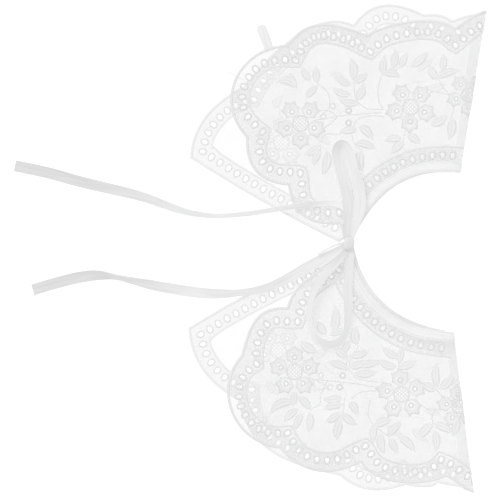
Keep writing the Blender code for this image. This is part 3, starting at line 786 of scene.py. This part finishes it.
def unbroken(line, kept):
    """The runs of a line whose points are kept."""
    runs = [[]]
    for point, keep in zip(line, kept):
        if keep:
            runs[-1].append(point)
        elif runs[-1]:
            runs.append([])
    return [run for run in runs if len(run) > 3]


# Panels
class Panel:
    """One panel: its outline, eyelets and stitched lines on the pattern, and the surface they lie on."""

    def __init__(self, half, front):
        self.half = half
        self.front = front
        self.shoulder = Shoulder(half)
        self.name = f"{'front' if front else 'back'}_{half.name}"
        self.step = half.neck_step if front else 0.0
        edge, ends = self.front_outline() if front else self.back_outline()
        self.edge = joined(edge)
        self.outline = self.edge + ends
        scallops = edge[1:]
        rows = rows_inside(scallops, half.side, EYELET_ROW)
        places = [place for row in rows[:-1] for place in spaced(row)] + spaced(rows[-1], not front)
        if front:
            along_neck = spaced(neck_curve(half, NECK_ROW_DEPTH, self.step))
            places += [place for place in along_neck if self.shoulder.spare(place[0]) > EYELET_WIDTH / 2]
        self.places = clear_places(self.outline, places)
        around, above = self.inner_lines(scallops)
        self.inner = around + [above] if front else around
        self.field = [p for run in around for p in run] + above

    def front_outline(self):
        half, shoulder = self.half, self.shoulder
        neck = round_the_fold(shoulder, neck_curve(half, NECKBAND_WIDTH - TUCK, self.step))
        curves = edge_curves(neck[-1], half.front, half.side)
        over = [shoulder.carried(p, turn) for p, turn in across_roll(shoulder, curves[-1])]
        flat = [p for p in curves[-1] if shoulder.spare(p) > SEAM]
        v_end = shoulder.to_uv((half.back[-1].x, half.back[-1].y))[1]
        turns = [math.pi * (0.5 + step / ROLL_STEPS) for step in range(1, ROLL_STEPS // 2 + 1)]
        under = [shoulder.turned(mix(shoulder.length, v_end, 1.0 - math.sin(t)), t) for t in turns]
        curves[-1] = flat + over + under[:-1]
        lip = [under[-1].lerp(neck[0], i / LIP_STEPS) for i in range(LIP_STEPS)]
        return curves, lip + neck[:-1]

    def back_outline(self):
        half, shoulder = self.half, self.shoulder
        neck = clear_of_lip(shoulder, neck_curve(half, NECKBAND_WIDTH - TUCK))
        curves = [clear_of_lip(shoulder, curve) for curve in edge_curves(neck[-1], half.back, half.side)]
        outer = curves[-1][-1]
        side_edge = [outer.lerp(neck[0], i / LIP_STEPS) for i in range(1, LIP_STEPS)]
        return curves, side_edge + neck[:-1]

    def inner_lines(self, scallops):
        """The stitched line inside the eyelets, and the one above the neck's eyelets."""
        half = self.half
        border = joined(scallops)
        neck = neck_curve(half, 0.0, self.step)
        line = joined(rows_inside(scallops, half.side, INNER_ROW))
        kept = gap_to(line, border, False) > INNER_ROW.depth - INNER_MARGIN
        kept &= gap_to(line, neck, False) > NECK_INNER_DEPTH - NECK_MARGIN
        kept &= within(line, [self.outline])
        above = neck_curve(half, NECK_INNER_DEPTH, self.step)
        clear = gap_to(above, border, False) > INNER_ROW.depth - NECK_MARGIN
        return unbroken(line, kept), [p for p, keep in zip(above, clear) if keep]

    def middle(self, point):
        """The middle of the cloth over this pattern point."""
        if not self.front:
            return Vector((point[0], point[1], BACK_MID))
        found = self.shoulder.front_middle(point)
        lie = smooth(self.shoulder.spare(point) / CREASE_FADE)
        crease = noise.noise(Vector((point[0], point[1], CREASE_SEED)) / CREASE_LENGTH)
        found.z += lie * CREASE_HEIGHT * max(0.0, crease)
        return found

    def normal(self, point):
        x, y = Vector((PROBE, 0)), Vector((0, PROBE))
        flat = Vector(point[:2])
        across = self.middle(flat + x) - self.middle(flat - x)
        along = self.middle(flat + y) - self.middle(flat - y)
        return across.cross(along).normalized()

    def pattern(self, plan):
        """The pattern point of a place seen from above."""
        point = Vector(plan)
        return self.shoulder.unfold(point) if self.front else point


# Meshes
def make_piece(name, points, faces, looks, uvs=None, slots=None, sharp=40.0, shades=None):
    """An object of the scene from points in millimetres, with smooth shading between its sharp edges."""
    mesh = bpy.data.meshes.new(name)
    mesh.from_pydata([Vector(p) * MM for p in points], [], faces)
    if uvs:
        layer = mesh.uv_layers.new(name="stitches")
        for loop, uv in zip(layer.data, uvs):
            loop.uv = uv
    if shades:
        mesh.attributes.new("shade", "FLOAT", "POINT").data.foreach_set("value", shades)
    for look in looks:
        mesh.materials.append(look)
    if slots:
        mesh.polygons.foreach_set("material_index", slots)
    work = bmesh.new()
    work.from_mesh(mesh)
    bmesh.ops.recalc_face_normals(work, faces=work.faces)
    work.to_mesh(mesh)
    work.free()
    mesh.shade_smooth()
    mesh.set_sharp_from_angle(angle=math.radians(sharp))
    made = bpy.data.objects.new(name, mesh)
    bpy.context.collection.objects.link(made)
    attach(made, "root")
    return made


def lets_light_through(made):
    made.visible_shadow = False
    made.visible_diffuse = False


def flat_triangles(panel, holes):
    """The panel's cloth on the pattern, as points and triangles."""
    shoulder, outline = panel.shoulder, panel.outline
    loops = [outline] + holes
    coords = []
    edges = []
    for n, line in enumerate(loops + panel.inner):
        first, count = len(coords), len(line)
        coords += line
        edges += [(first + i, first + (i + 1) % count) for i in range(count if n < len(loops) else count - 1)]
    low_x, high_x = min(p.x for p in outline), max(p.x for p in outline)
    low_y, high_y = min(p.y for p in outline), max(p.y for p in outline)
    wanted = []
    for row in range(int((high_y - low_y) / GRID) + 1):
        for column in range(int((high_x - low_x) / GRID) + 2):
            x, y = column + 0.5 * (row % 2), row + 0.5
            wanted.append(Vector((low_x + x * GRID, low_y + y * GRID)))
    if panel.front:
        wanted = [p for p in wanted if shoulder.spare(p) > ROLL_CLEARANCE]
        count = round(shoulder.length / ROLL_SPACING)
        for step in range(ROLL_STEPS):
            turn = math.pi * step / ROLL_STEPS
            wanted += [shoulder.turned(shoulder.length * (n + 0.5) / count, turn) for n in range(count)]
    kept = within(wanted, [outline]) & (gap_to(wanted, outline) > GRID_CLEARANCE)
    centres = [sum(hole, Vector((0, 0))) / len(hole) for hole in holes]
    widths = np.array([max((p - hole[0]).length for p in hole) for hole in holes])
    gaps = np.sqrt(((plan(wanted)[:, None] - plan(centres)[None]) ** 2).sum(2))
    kept &= (gaps > widths / 2 + HOLE_CLEARANCE).all(1)
    coords += [p for p, keep in zip(wanted, kept) if keep]
    flat, _, triangles, *_ = delaunay_2d_cdt(coords, edges, [], 0, WELD)
    inner = within([(flat[a] + flat[b] + flat[c]) / 3 for a, b, c in triangles], loops)
    return flat, [tuple(t) for t, keep in zip(triangles, inner) if keep]


def cloth(panel, holes, looks):
    """The panel's sheer cloth: a closed skin, cut through at each eyelet."""
    flat, triangles = flat_triangles(panel, holes)
    used = sorted({i for triangle in triangles for i in triangle})
    number = {old: new for new, old in enumerate(used)}
    tops = []
    bottoms = []
    for i in used:
        centre = panel.middle(flat[i])
        offset = panel.normal(flat[i]) * ORGANZA_THICKNESS / 2
        tops.append(centre + offset)
        bottoms.append(centre - offset)
    count = len(used)
    upper = []
    area = 0.0
    for a, b, c in triangles:
        turn = (flat[b] - flat[a]).cross(flat[c] - flat[a])
        area += abs(turn) / 2
        upper.append(tuple(number[i] for i in ((a, b, c) if turn > 0 else (c, b, a))))
    # Looks by number: 0 the field, 1 the fold, more opaque and darker in part as painted shade, 2 and 3 the
    # borders of the front and back panels
    slots = []
    middles = [(flat[a] + flat[b] + flat[c]) / 3 for a, b, c in triangles]
    for middle, in_field in zip(middles, within(middles, [panel.field])):
        border = 2 if panel.front else 3
        slots.append(border if not in_field else 1 if panel.shoulder.spare(middle) < 0 else 0)
    lower = [(count + c, count + b, count + a) for a, b, c in upper]
    directed = {(a, b) for t in upper for a, b in zip(t, t[1:] + t[:1])}
    rims = sorted((a, b) for a, b in directed if (b, a) not in directed)
    sides = [(b, a, count + a, count + b) for a, b in rims]
    slots = slots * 2 + [0] * len(sides)
    faces = upper + lower + sides
    made = make_piece(f"sheer_{panel.name}", tops + bottoms, faces, looks, slots=slots)
    lets_light_through(made)
    spread = [max(p[k] for p in panel.outline) - min(p[k] for p in panel.outline) for k in (0, 1)]
    return made, spread, area


# Stitching
class Stitching:
    """Raised stitching on one panel's cloth: closed threads and patches gathered in one mesh."""

    def __init__(self, panel):
        self.panel = panel
        self.points = []
        self.faces = []
        self.uvs = []
        self.shades = []
        self.lift = 0.0

    def skin(self, rows, along, closed, section, grain):
        """Joins cross-sections, each a ring of (pattern point, height, distance across)."""
        first = len(self.points)
        count = len(rows[0])
        for row in rows:
            up = self.panel.normal(row[0][0].lerp(row[count // 2][0], 0.5))
            self.points += [self.panel.middle(p) + up * height for p, height, _ in row]
            self.shades += [point.shade + self.lift for point in section]
        spans = len(rows) if closed else len(rows) - 1
        for i in range(spans):
            j = (i + 1) % len(rows)
            for k in range(count):
                m = (k + 1) % count
                corners = ((i, i, k), (i + 1, j, k), (i + 1, j, m), (i, i, m))
                self.faces.append(tuple(first + row * count + column for _, row, column in corners))
                self.uvs += [(along[n] / grain, rows[row][column][2] / grain) for n, row, column in corners]
        if not closed:
            for n in (0, spans):
                self.faces.append(tuple(first + n * count + k for k in range(count)))
                self.uvs += [(along[n] / grain, across / grain) for _, _, across in rows[n]]

    def thread(self, path, width, height, section=CORD, profile=None, grain=CORD_GRAIN):
        """Stitches along a path on the pattern. profile gives the share of the width at each share of it."""
        along = lengths_along(path)
        rows = []
        for i, point in enumerate(path):
            across = left_of(heading(path, i))
            share = profile(along[i] / along[-1]) if profile else 1.0
            reach = width / 2 * share
            rise = height * min(1.0, POINT_HEIGHT + HEIGHT_GROWTH * share)
            rows.append([(point + across * s * reach, t * rise, s * reach) for s, t, _ in section])
        self.skin(rows, along, False, section, grain)

    def ring(self, inner, outer, height, section, grain=CORD_GRAIN):
        """Stitches between two loops of as many points."""
        rows = []
        for a, b in zip(inner, outer):
            reach = (b - a).length
            rows.append([(a.lerp(b, s), t * height, s * reach) for s, t, _ in section])
        self.skin(rows, lengths_along(outer + outer[:1]), True, section, grain)

    def leaf(self, row):
        base, tip = self.panel.pattern((row.x, row.y)), self.panel.pattern((row.tip_x, row.tip_y))
        belly = (base + tip) / 2 + left_of(tip - base) * row.bend * 2
        path = []
        for i in range(LEAF_STEPS + 1):
            t = i / LEAF_STEPS
            path.append(base * (1 - t) ** 2 + belly * 2 * t * (1 - t) + tip * t * t)
        self.thread(path, row.width * LEAF_FULLNESS, STITCH_HEIGHT, LEAF_SECTION, leaf_profile, LEAF_GRAIN)

    def flower(self, row):
        """Five toothed petals about a meshed heart, each round a small eyelet with a bare ring beside it."""
        centre = self.panel.pattern((row.x, row.y))
        for eye, turn in petal_eyes(centre, row):
            hole, rim = (circle(eye, radius * row.size, EYE_POINTS) for radius in (PETAL_HOLE, PETAL_EYE))
            self.ring(hole, rim, STITCH_HEIGHT, RIM)
            for way in circle(Vector((0, 0)), row.size, BARS):
                start, end = eye + way * (PETAL_EYE - BAR_LAP_IN), eye + way * (PETAL_GAP + BAR_LAP_OUT)
                self.thread([start, start.lerp(end, 0.5), end], BAR_WIDTH, STITCH_HEIGHT * BAR_HEIGHT)
            inner = []
            outer = []
            for i in range(PETAL_POINTS):
                angle = 2 * math.pi * i / PETAL_POINTS
                way = ray(turn + angle)
                outside = 0.5 + 0.5 * math.cos(angle)
                tooth = TOOTH_MIDDLE - abs(math.sin(PETAL_TEETH * angle / 2))
                lobe = PETAL_SIZE + PETAL_LENGTHENING * math.cos(angle) + PETAL_TOOTH * outside * tooth
                inner.append(eye + way * PETAL_GAP * row.size)
                outer.append(eye + way * lobe * row.size)
            self.ring(inner, outer, STITCH_HEIGHT, PETAL, PETAL_GRAIN)
        self.heart(centre, HEART_RADIUS * row.size)

    def heart(self, centre, reach):
        """A net of threads within a rim."""
        hole, rim = (circle(centre, radius, PETAL_POINTS) for radius in (reach - HEART_RIM, reach))
        self.ring(hole, rim, STITCH_HEIGHT, RIM)
        rows = int(reach / HEART_MESH)
        for way in (45, 135):
            along = ray(math.radians(way))
            for n in range(-rows, rows + 1):
                offset = n * HEART_MESH
                half = math.sqrt(max(0.0, (reach - HEART_LAP) ** 2 - offset**2))
                if half > HEART_MESH / 2:
                    middle = centre + left_of(along) * offset
                    line = [middle + along * half * s for s in (-1, -0.5, 0, 0.5, 1)]
                    self.thread(line, HEART_THREAD, HEART_HEIGHT)

    def finish(self, look):
        name = f"stitching_{self.panel.name}"
        made = make_piece(name, self.points, self.faces, [look], self.uvs, sharp=70.0, shades=self.shades)
        lets_light_through(made)
        return made


def leaf_profile(share):
    """How wide a leaf is along its vein, with a tooth at every other step."""
    tooth = LEAF_TOOTH * (round(share * LEAF_STEPS) % 2)
    return max(LEAF_POINT, math.sin(math.pi * share**LEAF_BELLY) ** LEAF_BLUNTNESS - tooth)


def petal_eyes(centre, row):
    """The middle of each petal's eyelet, and the way that the petal points."""
    turns = [math.radians(row.turn + 360 * n / PETALS) for n in range(PETALS)]
    return [(centre + ray(turn) * PETAL_REACH * row.size, turn) for turn in turns]


def smooth_line(knots):
    """A smooth curve through points."""
    line = []
    for n in range(len(knots) - 1):
        line += [spline(*four_about(knots, n), i / STEM_STEPS) for i in range(STEM_STEPS)]
    return line + [knots[-1]]


def embroider(panel, motifs, look, cover=None):
    """The panel's stitching. It is paler below a front panel's outline, as seen through its cloth."""
    work = Stitching(panel)
    work.lift = 0.0 if panel.front else UNDER_LIFT
    side, edge = panel.half.side, panel.edge
    inset = [p + left_of(heading(edge, i)) * -side * EDGE_CORD[0] * EDGE_INSET for i, p in enumerate(edge)]
    work.thread(inset, *EDGE_CORD)
    for line in panel.inner:
        work.thread(line, *INNER_CORD)
    for place in panel.places:
        work.ring(eyelet(*place, side), eyelet(*place, side, EYELET_RIM), STITCH_HEIGHT, RIM)
    for flower in motifs.flowers:
        work.flower(flower)
    for spot in motifs.dots:
        hole, rim = (circle(panel.pattern(spot), radius, DOT_POINTS) for radius in (DOT_HOLE, DOT_SIZE))
        work.ring(hole, rim, STITCH_HEIGHT * DOT_HEIGHT, RIM)
    for leaf in motifs.leaves:
        work.leaf(leaf)
    for stem in motifs.stems:
        work.thread(smooth_line([panel.pattern(p) for p in stem]), *STEM)
    if cover:
        hidden = within(work.points, [cover])
        work.shades = [shade + COVERED_LIFT * bool(h) for shade, h in zip(work.shades, hidden)]
    return work.finish(look)


def cloth_holes(panel, motifs):
    """Loops of the cloth's holes: the rows of eyelets, and the small ones in petals and dots."""
    holes = [eyelet(*place, panel.half.side) for place in panel.places]
    small = [(panel.pattern(spot), DOT_HOLE) for spot in motifs.dots]
    for row in motifs.flowers:
        centre = panel.pattern((row.x, row.y))
        small.append((centre, HEART_RADIUS * row.size - HEART_HOLE_MARGIN))
        small += [(eye, PETAL_HOLE * row.size) for eye, _ in petal_eyes(centre, row)]
    kept = [spot for spot in small if in_loop(panel.outline, spot[0], spot[1] + SMALL_HOLE_ROOM)]
    return holes + [circle(*spot, SMALL_HOLE_POINTS) for spot in kept]


# Strips: neckbands and ribbons
def strip_faces(count, columns, place):
    """A closed strip's faces, and where their corners lie on it. Its points run by row, side and column."""
    faces = []
    uvs = []

    def add(*corners):
        faces.append(tuple((i * 2 + layer) * columns + k for layer, i, k in corners))
        uvs.extend(place(i, k) for _, i, k in corners)

    for i in range(count - 1):
        for k in range(columns - 1):
            add((0, i, k), (0, i + 1, k), (0, i + 1, k + 1), (0, i, k + 1))
            add((1, i, k), (1, i, k + 1), (1, i + 1, k + 1), (1, i + 1, k))
        for k in (0, columns - 1):
            add((0, i, k), (1, i, k), (1, i + 1, k), (0, i + 1, k))
    for i in (0, count - 1):
        for k in range(columns - 1):
            add((0, i, k), (0, i, k + 1), (1, i, k + 1), (1, i, k))
    return faces, uvs


def neckband(panel, look):
    """A doubled strip along the neck, crowned between its two rows of stitches."""
    shares = [k / (NECKBAND_COLUMNS - 1) for k in range(NECKBAND_COLUMNS)]
    carry = round_the_fold if panel.front else clear_of_lip
    lines = [carry(panel.shoulder, neck_curve(panel.half, NECKBAND_WIDTH * s, panel.step)) for s in shares]
    count = min(len(line) for line in lines)
    along = lengths_along(lines[0][:count])
    points = []
    for i in range(count):
        for sign in (1, -1):
            for share, line in zip(shares, lines):
                across = 2.0 * share - 1.0
                groove = math.exp(-(((abs(across) - GROOVE_PLACE) / GROOVE_WIDTH) ** 2))
                crown = BAND_THICKNESS / 2 * (1.0 - BAND_ROUNDING * across**6 - GROOVE_DEPTH * groove)
                points.append(panel.middle(line[i]) + panel.normal(line[i]) * (sign * crown))

    def place(i, k):
        return along[i], NECKBAND_WIDTH * (shares[k] - 0.5)

    faces, uvs = strip_faces(count, NECKBAND_COLUMNS, place)
    made = make_piece(f"band_{panel.name}", points, faces, [look], uvs=uvs)
    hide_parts(f"neckband_{panel.name}")
    return made, along[-1]


def through(rows, n, share):
    """A smooth curve through the rows: each column between row n and the next."""
    found = Knot(*(spline(*four, share) for four in zip(*four_about(rows, n))))
    return found._replace(z=max(found.z, 0.0))


def ribbon(name, rows, look, start=0.0, cup=0.3, seed=0.0):
    """A satin strip along its route, its edges a little raised, and softly rumpled."""
    shares = [k / RIBBON_STEPS for k in range(RIBBON_STEPS)]
    sections = [through(rows, n, share) for n in range(len(rows) - 1) for share in shares] + [rows[-1]]
    count = len(sections)
    points = []
    along = [start]
    for i, row in enumerate(sections):
        before, after = sections[max(0, i - 1)], sections[min(count - 1, i + 1)]
        if i:
            along.append(along[-1] + math.hypot(row.x - before.x, row.y - before.y))
        tangent = Vector((after.x - before.x, after.y - before.y, 0.0)).normalized()
        roll = math.radians(row.roll)
        wide = Vector((-tangent.y, tangent.x, 0.0)) * math.cos(roll) + Vector((0.0, 0.0, math.sin(roll)))
        thick = tangent.cross(wide)
        low = row.width / 2 * abs(math.sin(roll)) + CLOTH / 2 * abs(math.cos(roll))
        centre = Vector((row.x, row.y, row.z + low))
        for sign in (1, -1):
            for s in RIBBON_SECTION:
                wave = noise.noise(Vector((along[-1] / RUMPLE_LENGTH, s * RUMPLE_TWIST, seed)))
                lift = cup * (s * s - CUP_LEVEL) + RUMPLE_HEIGHT * wave + sign * RIBBON_THICKNESS / 2
                points.append(centre + wide * s * row.width / 2 + thick * lift)

    def place(i, k):
        return along[i], RIBBON_SECTION[k] * RIBBON_WIDTH / 2

    faces, uvs = strip_faces(count, len(RIBBON_SECTION), place)
    made = make_piece(name, points, faces, [look], uvs=uvs)
    made.visible_diffuse = False
    return made, along[-1] - start


def squared(value):
    """A sine or cosine pushed outwards, which turns a circle into a rounded square."""
    return math.copysign(abs(value) ** KNOT_SQUARENESS, value)


def bow_knot(look):
    """The ribbon wound tightly round the crossing: a squarish pad with soft folds along the winding."""
    points = []
    for ring in range(1, KNOT_RINGS):
        tilt = math.pi * ring / KNOT_RINGS
        for i in range(KNOT_SIDES):
            angle = 2 * math.pi * i / KNOT_SIDES
            spread = math.sin(tilt) ** KNOT_ROUNDNESS
            x, y = squared(math.cos(angle)), squared(math.sin(angle))
            unit = Vector((spread * x, spread * y, math.cos(tilt)))
            fold = math.cos(unit.y * KNOT_FOLDS + KNOT_SLANT * unit.x + KNOT_FOLD_START)
            wave = noise.noise(unit * KNOT_WAVES)
            reach = KNOT_REACH + KNOT_FOLD_DEPTH * fold + KNOT_WAVE_DEPTH * wave
            points.append(Vector(KNOT_CENTRE) + Vector(u * s for u, s in zip(unit, KNOT_HALF_SIZE)) * reach)
    faces = []
    last = KNOT_RINGS - 2
    for ring in range(last):
        for i in range(KNOT_SIDES):
            corners = ((ring, i), (ring + 1, i), (ring + 1, i + 1), (ring, i + 1))
            faces.append(tuple(r * KNOT_SIDES + c % KNOT_SIDES for r, c in corners))
    faces += [tuple(ring * KNOT_SIDES + i for i in range(KNOT_SIDES)) for ring in (0, last)]
    uvs = [(LOOP_UPPER_START + points[n].y, points[n].x - KNOT_CENTRE[0]) for face in faces for n in face]
    made = make_piece("satin_knot", points, faces, [look], uvs=uvs, sharp=60.0)
    return made


# Materials
class Look:
    """A procedural material, and short ways to make its nodes."""

    def __init__(self, name, roughness, alpha=1.0, sheen=0.0):
        self.made = bpy.data.materials.new(name)
        self.made.use_nodes = True
        self.tree = self.made.node_tree
        self.shader = self.tree.nodes["Principled BSDF"]
        values = {"Roughness": roughness, "Alpha": alpha, "Sheen Weight": sheen}
        self.feed(self.shader, {**values, "Specular IOR Level": SPECULAR})

    def feed(self, node, values):
        """Sets inputs of a node, each to a value or to the output of another node."""
        for name, value in dict(values).items():
            if isinstance(value, bpy.types.NodeSocket):
                self.tree.links.new(value, node.inputs[name])
            else:
                node.inputs[name].default_value = value

    def node(self, kind, values=()):
        node = self.tree.nodes.new(f"ShaderNode{kind}")
        self.feed(node, values)
        return node

    def math(self, operation, *values):
        node = self.node("Math")
        node.operation = operation
        self.feed(node, dict(enumerate(values)))
        return node.outputs[0]

    def place(self):
        """X, Y and Z in millimetres."""
        split = self.node("SeparateXYZ", {0: self.node("TexCoord").outputs["Object"]})
        return [self.math("MULTIPLY", out, 1 / MM) for out in split.outputs]

    def stitches(self):
        """How far along and how far across the stitching, in millimetres."""
        uvs = self.node("UVMap")
        uvs.uv_map = "stitches"
        return self.node("SeparateXYZ", {0: uvs.outputs[0]}).outputs[:2]

    def shade(self):
        """How light a thread lies, from 0 to 1: in part painted shade at its foot, grooves and underside."""
        node = self.node("Attribute")
        node.attribute_name = "shade"
        return node.outputs["Fac"]

    def wave(self, value, period):
        """A wave from 0 to 1 of this period."""
        turned = self.math("SINE", self.math("MULTIPLY", value, 2 * math.pi / period))
        return self.math("MULTIPLY_ADD", turned, 0.5, 0.5)

    def noise(self, place, scale, detail):
        """Soft noise, from 0 to 1."""
        values = {"Vector": place, "Scale": scale, "Detail": detail}
        return self.node("TexNoise", values).outputs["Fac"]

    def cloud(self, size):
        """Soft noise of this size in millimetres."""
        return self.noise(self.node("TexCoord").outputs["Object"], 1 / (size * MM), 3.0)

    def streaks(self, along, across):
        """Soft streaks along a ribbon: painted shade of lengthwise creases."""
        place = {0: self.math("MULTIPLY", along, 0.03), 1: self.math("MULTIPLY", across, 0.35)}
        return self.noise(self.node("CombineXYZ", place).outputs[0], 1.0, 2.0)

    def colour(self, factor, dark, light):
        ramp = self.node("ValToRGB", {0: factor})
        for element, colour in zip(ramp.color_ramp.elements, (dark, light)):
            element.color = (*colour, 1.0)
        self.feed(self.shader, {"Base Color": ramp.outputs[0]})

    def rough(self, factor, low, high):
        self.feed(self.shader, {"Roughness": self.math("MULTIPLY_ADD", factor, high - low, low)})

    def bump(self, height, depth):
        """Relief of this depth in millimetres."""
        node = self.node("Bump", {"Strength": 1.0, "Distance": depth * MM, "Height": height})
        self.feed(self.shader, {"Normal": node.outputs[0]})


def organza_look(name, alpha, dark, light):
    look = Look(name, 0.5, alpha, 0.15)
    x, y, _ = look.place()
    weave = look.math("MULTIPLY", look.wave(x, WEAVE), look.wave(y, WEAVE))
    cloud = look.cloud(22.0)
    look.colour(look.math("MULTIPLY_ADD", weave, 0.15, look.math("MULTIPLY", cloud, 0.85)), dark, light)
    look.rough(cloud, 0.42, 0.6)
    look.bump(weave, 0.05)
    return look.made


def thread_look():
    look = Look("satin_thread", 0.5, 1.0, 0.1)
    along, across = look.stitches()
    slant = look.math("ADD", along, look.math("MULTIPLY", look.math("ABSOLUTE", across), STITCH_SLANT))
    wave = look.wave(slant, STITCH_PITCH)
    cloud = look.cloud(5.0)
    grain = look.math("MULTIPLY_ADD", wave, 0.3, look.math("MULTIPLY", cloud, 0.2))
    # The shade attribute: in part painted shade at the threads' feet, grooves and undersides, lighter on
    # their crowns.
    factor = look.math("MULTIPLY_ADD", look.shade(), 0.55, grain)
    look.colour(factor, THREAD_DARK, THREAD_LIGHT)
    look.rough(wave, 0.4, 0.6)
    look.bump(wave, 0.05)
    return look.made


def band_look():
    look = Look("neck_binding", 0.6, 1.0, 0.1)
    along, across = look.stitches()
    near = look.math("SUBTRACT", look.math("ABSOLUTE", across), GROOVE_PLACE / 2 * NECKBAND_WIDTH)
    line = look.math("LESS_THAN", look.math("ABSOLUTE", near), DASH_WIDTH / 2)
    dash = look.math("GREATER_THAN", look.wave(along, DASH_PITCH), 0.3)
    twill = look.wave(look.math("ADD", along, across), TWILL)
    cloud = look.cloud(9.0)
    plain = look.math("MULTIPLY_ADD", twill, 0.25, look.math("MULTIPLY", cloud, 0.75))
    stitched = look.math("MULTIPLY", line, dash)
    factor = look.math("SUBTRACT", plain, look.math("MULTIPLY", stitched, 0.35))
    look.colour(factor, BAND_DARK, BAND_LIGHT)
    look.rough(cloud, 0.5, 0.7)
    look.bump(look.math("SUBTRACT", look.math("MULTIPLY", twill, 0.4), stitched), 0.12)
    return look.made


def ribbon_look(name, dark, light):
    """Satin with painted shade: darkest at a tail's free end, and with painted shade of soft lengthwise
    creases.
    """
    look = Look(name, 0.35, 1.0, 0.2)
    along, across = look.stitches()
    ribs = look.wave(along, RIB_PITCH)
    fine = look.wave(across, SATIN_PITCH)
    selvedge = look.math("GREATER_THAN", look.math("ABSOLUTE", across), SELVEDGE)
    # Painted shade: the satin grows darker towards a tail's free end.
    fade = look.math("MULTIPLY_ADD", along, 1 / FADE_LENGTH, -FADE_START / FADE_LENGTH)
    fade = look.math("MINIMUM", look.math("MAXIMUM", fade, 0.0), 1.0)
    # Painted shade of soft lengthwise creases.
    streak = look.streaks(along, across)
    factor = look.math("MULTIPLY_ADD", fade, 0.5, look.math("MULTIPLY_ADD", streak, 0.7, -0.15))
    factor = look.math("MULTIPLY_ADD", ribs, 0.04, factor)
    factor = look.math("MULTIPLY_ADD", selvedge, 0.12, factor)
    look.colour(factor, dark, light)
    look.rough(fine, 0.3, 0.42)
    look.bump(look.math("MULTIPLY_ADD", selvedge, 0.8, look.math("MULTIPLY", ribs, 0.15)), 0.05)
    return look.made


def build_collar():
    sheer = organza_look("organza", ORGANZA_ALPHA, ORGANZA_DARK, ORGANZA_LIGHT)
    # A more opaque, darker copy of the organza at the shoulder fold: in part painted shade.
    folded = organza_look("organza_at_fold", FOLD_ALPHA, FOLD_DARK, FOLD_LIGHT)
    bordered = organza_look("organza_at_border", BORDER_ALPHA, BORDER_DARK, BORDER_LIGHT)
    under = organza_look("organza_at_back_border", BACK_BORDER_ALPHA, BORDER_DARK, BORDER_LIGHT)
    thread = thread_look()
    binding = band_look()
    satin = ribbon_look("satin_ribbon", RIBBON_DARK, RIBBON_LIGHT)
    # The loops, knot and turn take a darker copy of the satin: painted shade.
    bow = ribbon_look("satin_bow", BOW_DARK, BOW_LIGHT)
    for half in (UPPER, LOWER):
        top = Panel(half, True)
        cover = [top.middle(p) for p in top.outline]
        for front in (False, True):
            panel = top if front else Panel(half, False)
            motifs = MOTIFS[panel.name]
            holes = cloth_holes(panel, motifs)
            made, spread, area = cloth(panel, holes, [sheer, folded, bordered, under])
            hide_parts(panel.name)
            stitched = embroider(panel, motifs, thread, None if front else cover)
            band, length = neckband(panel, binding)
    routes = (
        ("satin_tail_upper", "ribbon_tail_upper", TAIL_UPPER, 0.0, 1.0),
        ("satin_tail_lower", "ribbon_tail_lower", TAIL_LOWER, 0.0, 2.0),
        ("satin_loop_upper", "bow_loop_upper", LOOP_UPPER, LOOP_UPPER_START, 3.0),
        ("satin_loop_lower", "bow_loop_lower", LOOP_LOWER, LOOP_LOWER_START, 4.0),
    )
    knot = bow_knot(bow)
    turn, _ = ribbon("satin_turn", TURN, bow, TURN_START, FLAT_CUP, 6.0)
    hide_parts("bow_knot")
    for name, node, rows, start, seed in routes:
        made, length = ribbon(name, rows, bow if "loop" in name else satin, start, RIBBON_CUP, seed)
        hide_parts(node)
    tab, length = ribbon("plain_tab", TAB[::-1], satin, TAB_START, FLAT_CUP, 5.0)
    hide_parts("side_tab")


def build_stage():
    """A white table top under soft light."""
    floor = bpy.data.meshes.new("table")
    corners = [(x * TABLE_REACH, y * TABLE_REACH, 0) for x, y in ((-1, -1), (1, -1), (1, 1), (-1, 1))]
    floor.from_pydata(corners, [], [(0, 1, 2, 3)])
    table = bpy.data.objects.new("table", floor)
    table.location.z = -TABLE_DROP
    bpy.context.collection.objects.link(table)
    paper = Look("paper", 0.9)
    paper.colour(paper.cloud(60.0), PAPER_DARK, PAPER_LIGHT)
    paper.feed(paper.shader, {"Emission Color": WHITE, "Emission Strength": TABLE_GLOW})
    floor.materials.append(paper.made)

    scene = bpy.context.scene
    scene.view_settings.view_transform = "Standard"
    world = bpy.data.worlds.new("studio")
    world.use_nodes = True
    world.node_tree.nodes["Background"].inputs[0].default_value = WHITE
    world.node_tree.nodes["Background"].inputs[1].default_value = WORLD_LIGHT
    scene.world = world
    sun = bpy.data.lights.new("window", "SUN")
    sun.energy = SUN_LIGHT
    sun.angle = math.radians(25)
    lamp = bpy.data.objects.new("window", sun)
    lamp.rotation_euler = (math.radians(-38), math.radians(-30), 0.0)
    bpy.context.collection.objects.link(lamp)


def build_camera():
    """The camera, straight above the collar."""
    data = bpy.data.cameras.new("camera")
    data.sensor_width = SENSOR_WIDTH
    data.lens = SENSOR_WIDTH * CAMERA_HEIGHT / PICTURE_WIDTH
    data.clip_end = 20.0
    camera = bpy.data.objects.new("camera", data)
    camera.location = (*CAMERA_CENTRE, CAMERA_HEIGHT)
    bpy.context.collection.objects.link(camera)
    bpy.context.scene.camera = camera


build_camera()
build_stage()
build_collar()
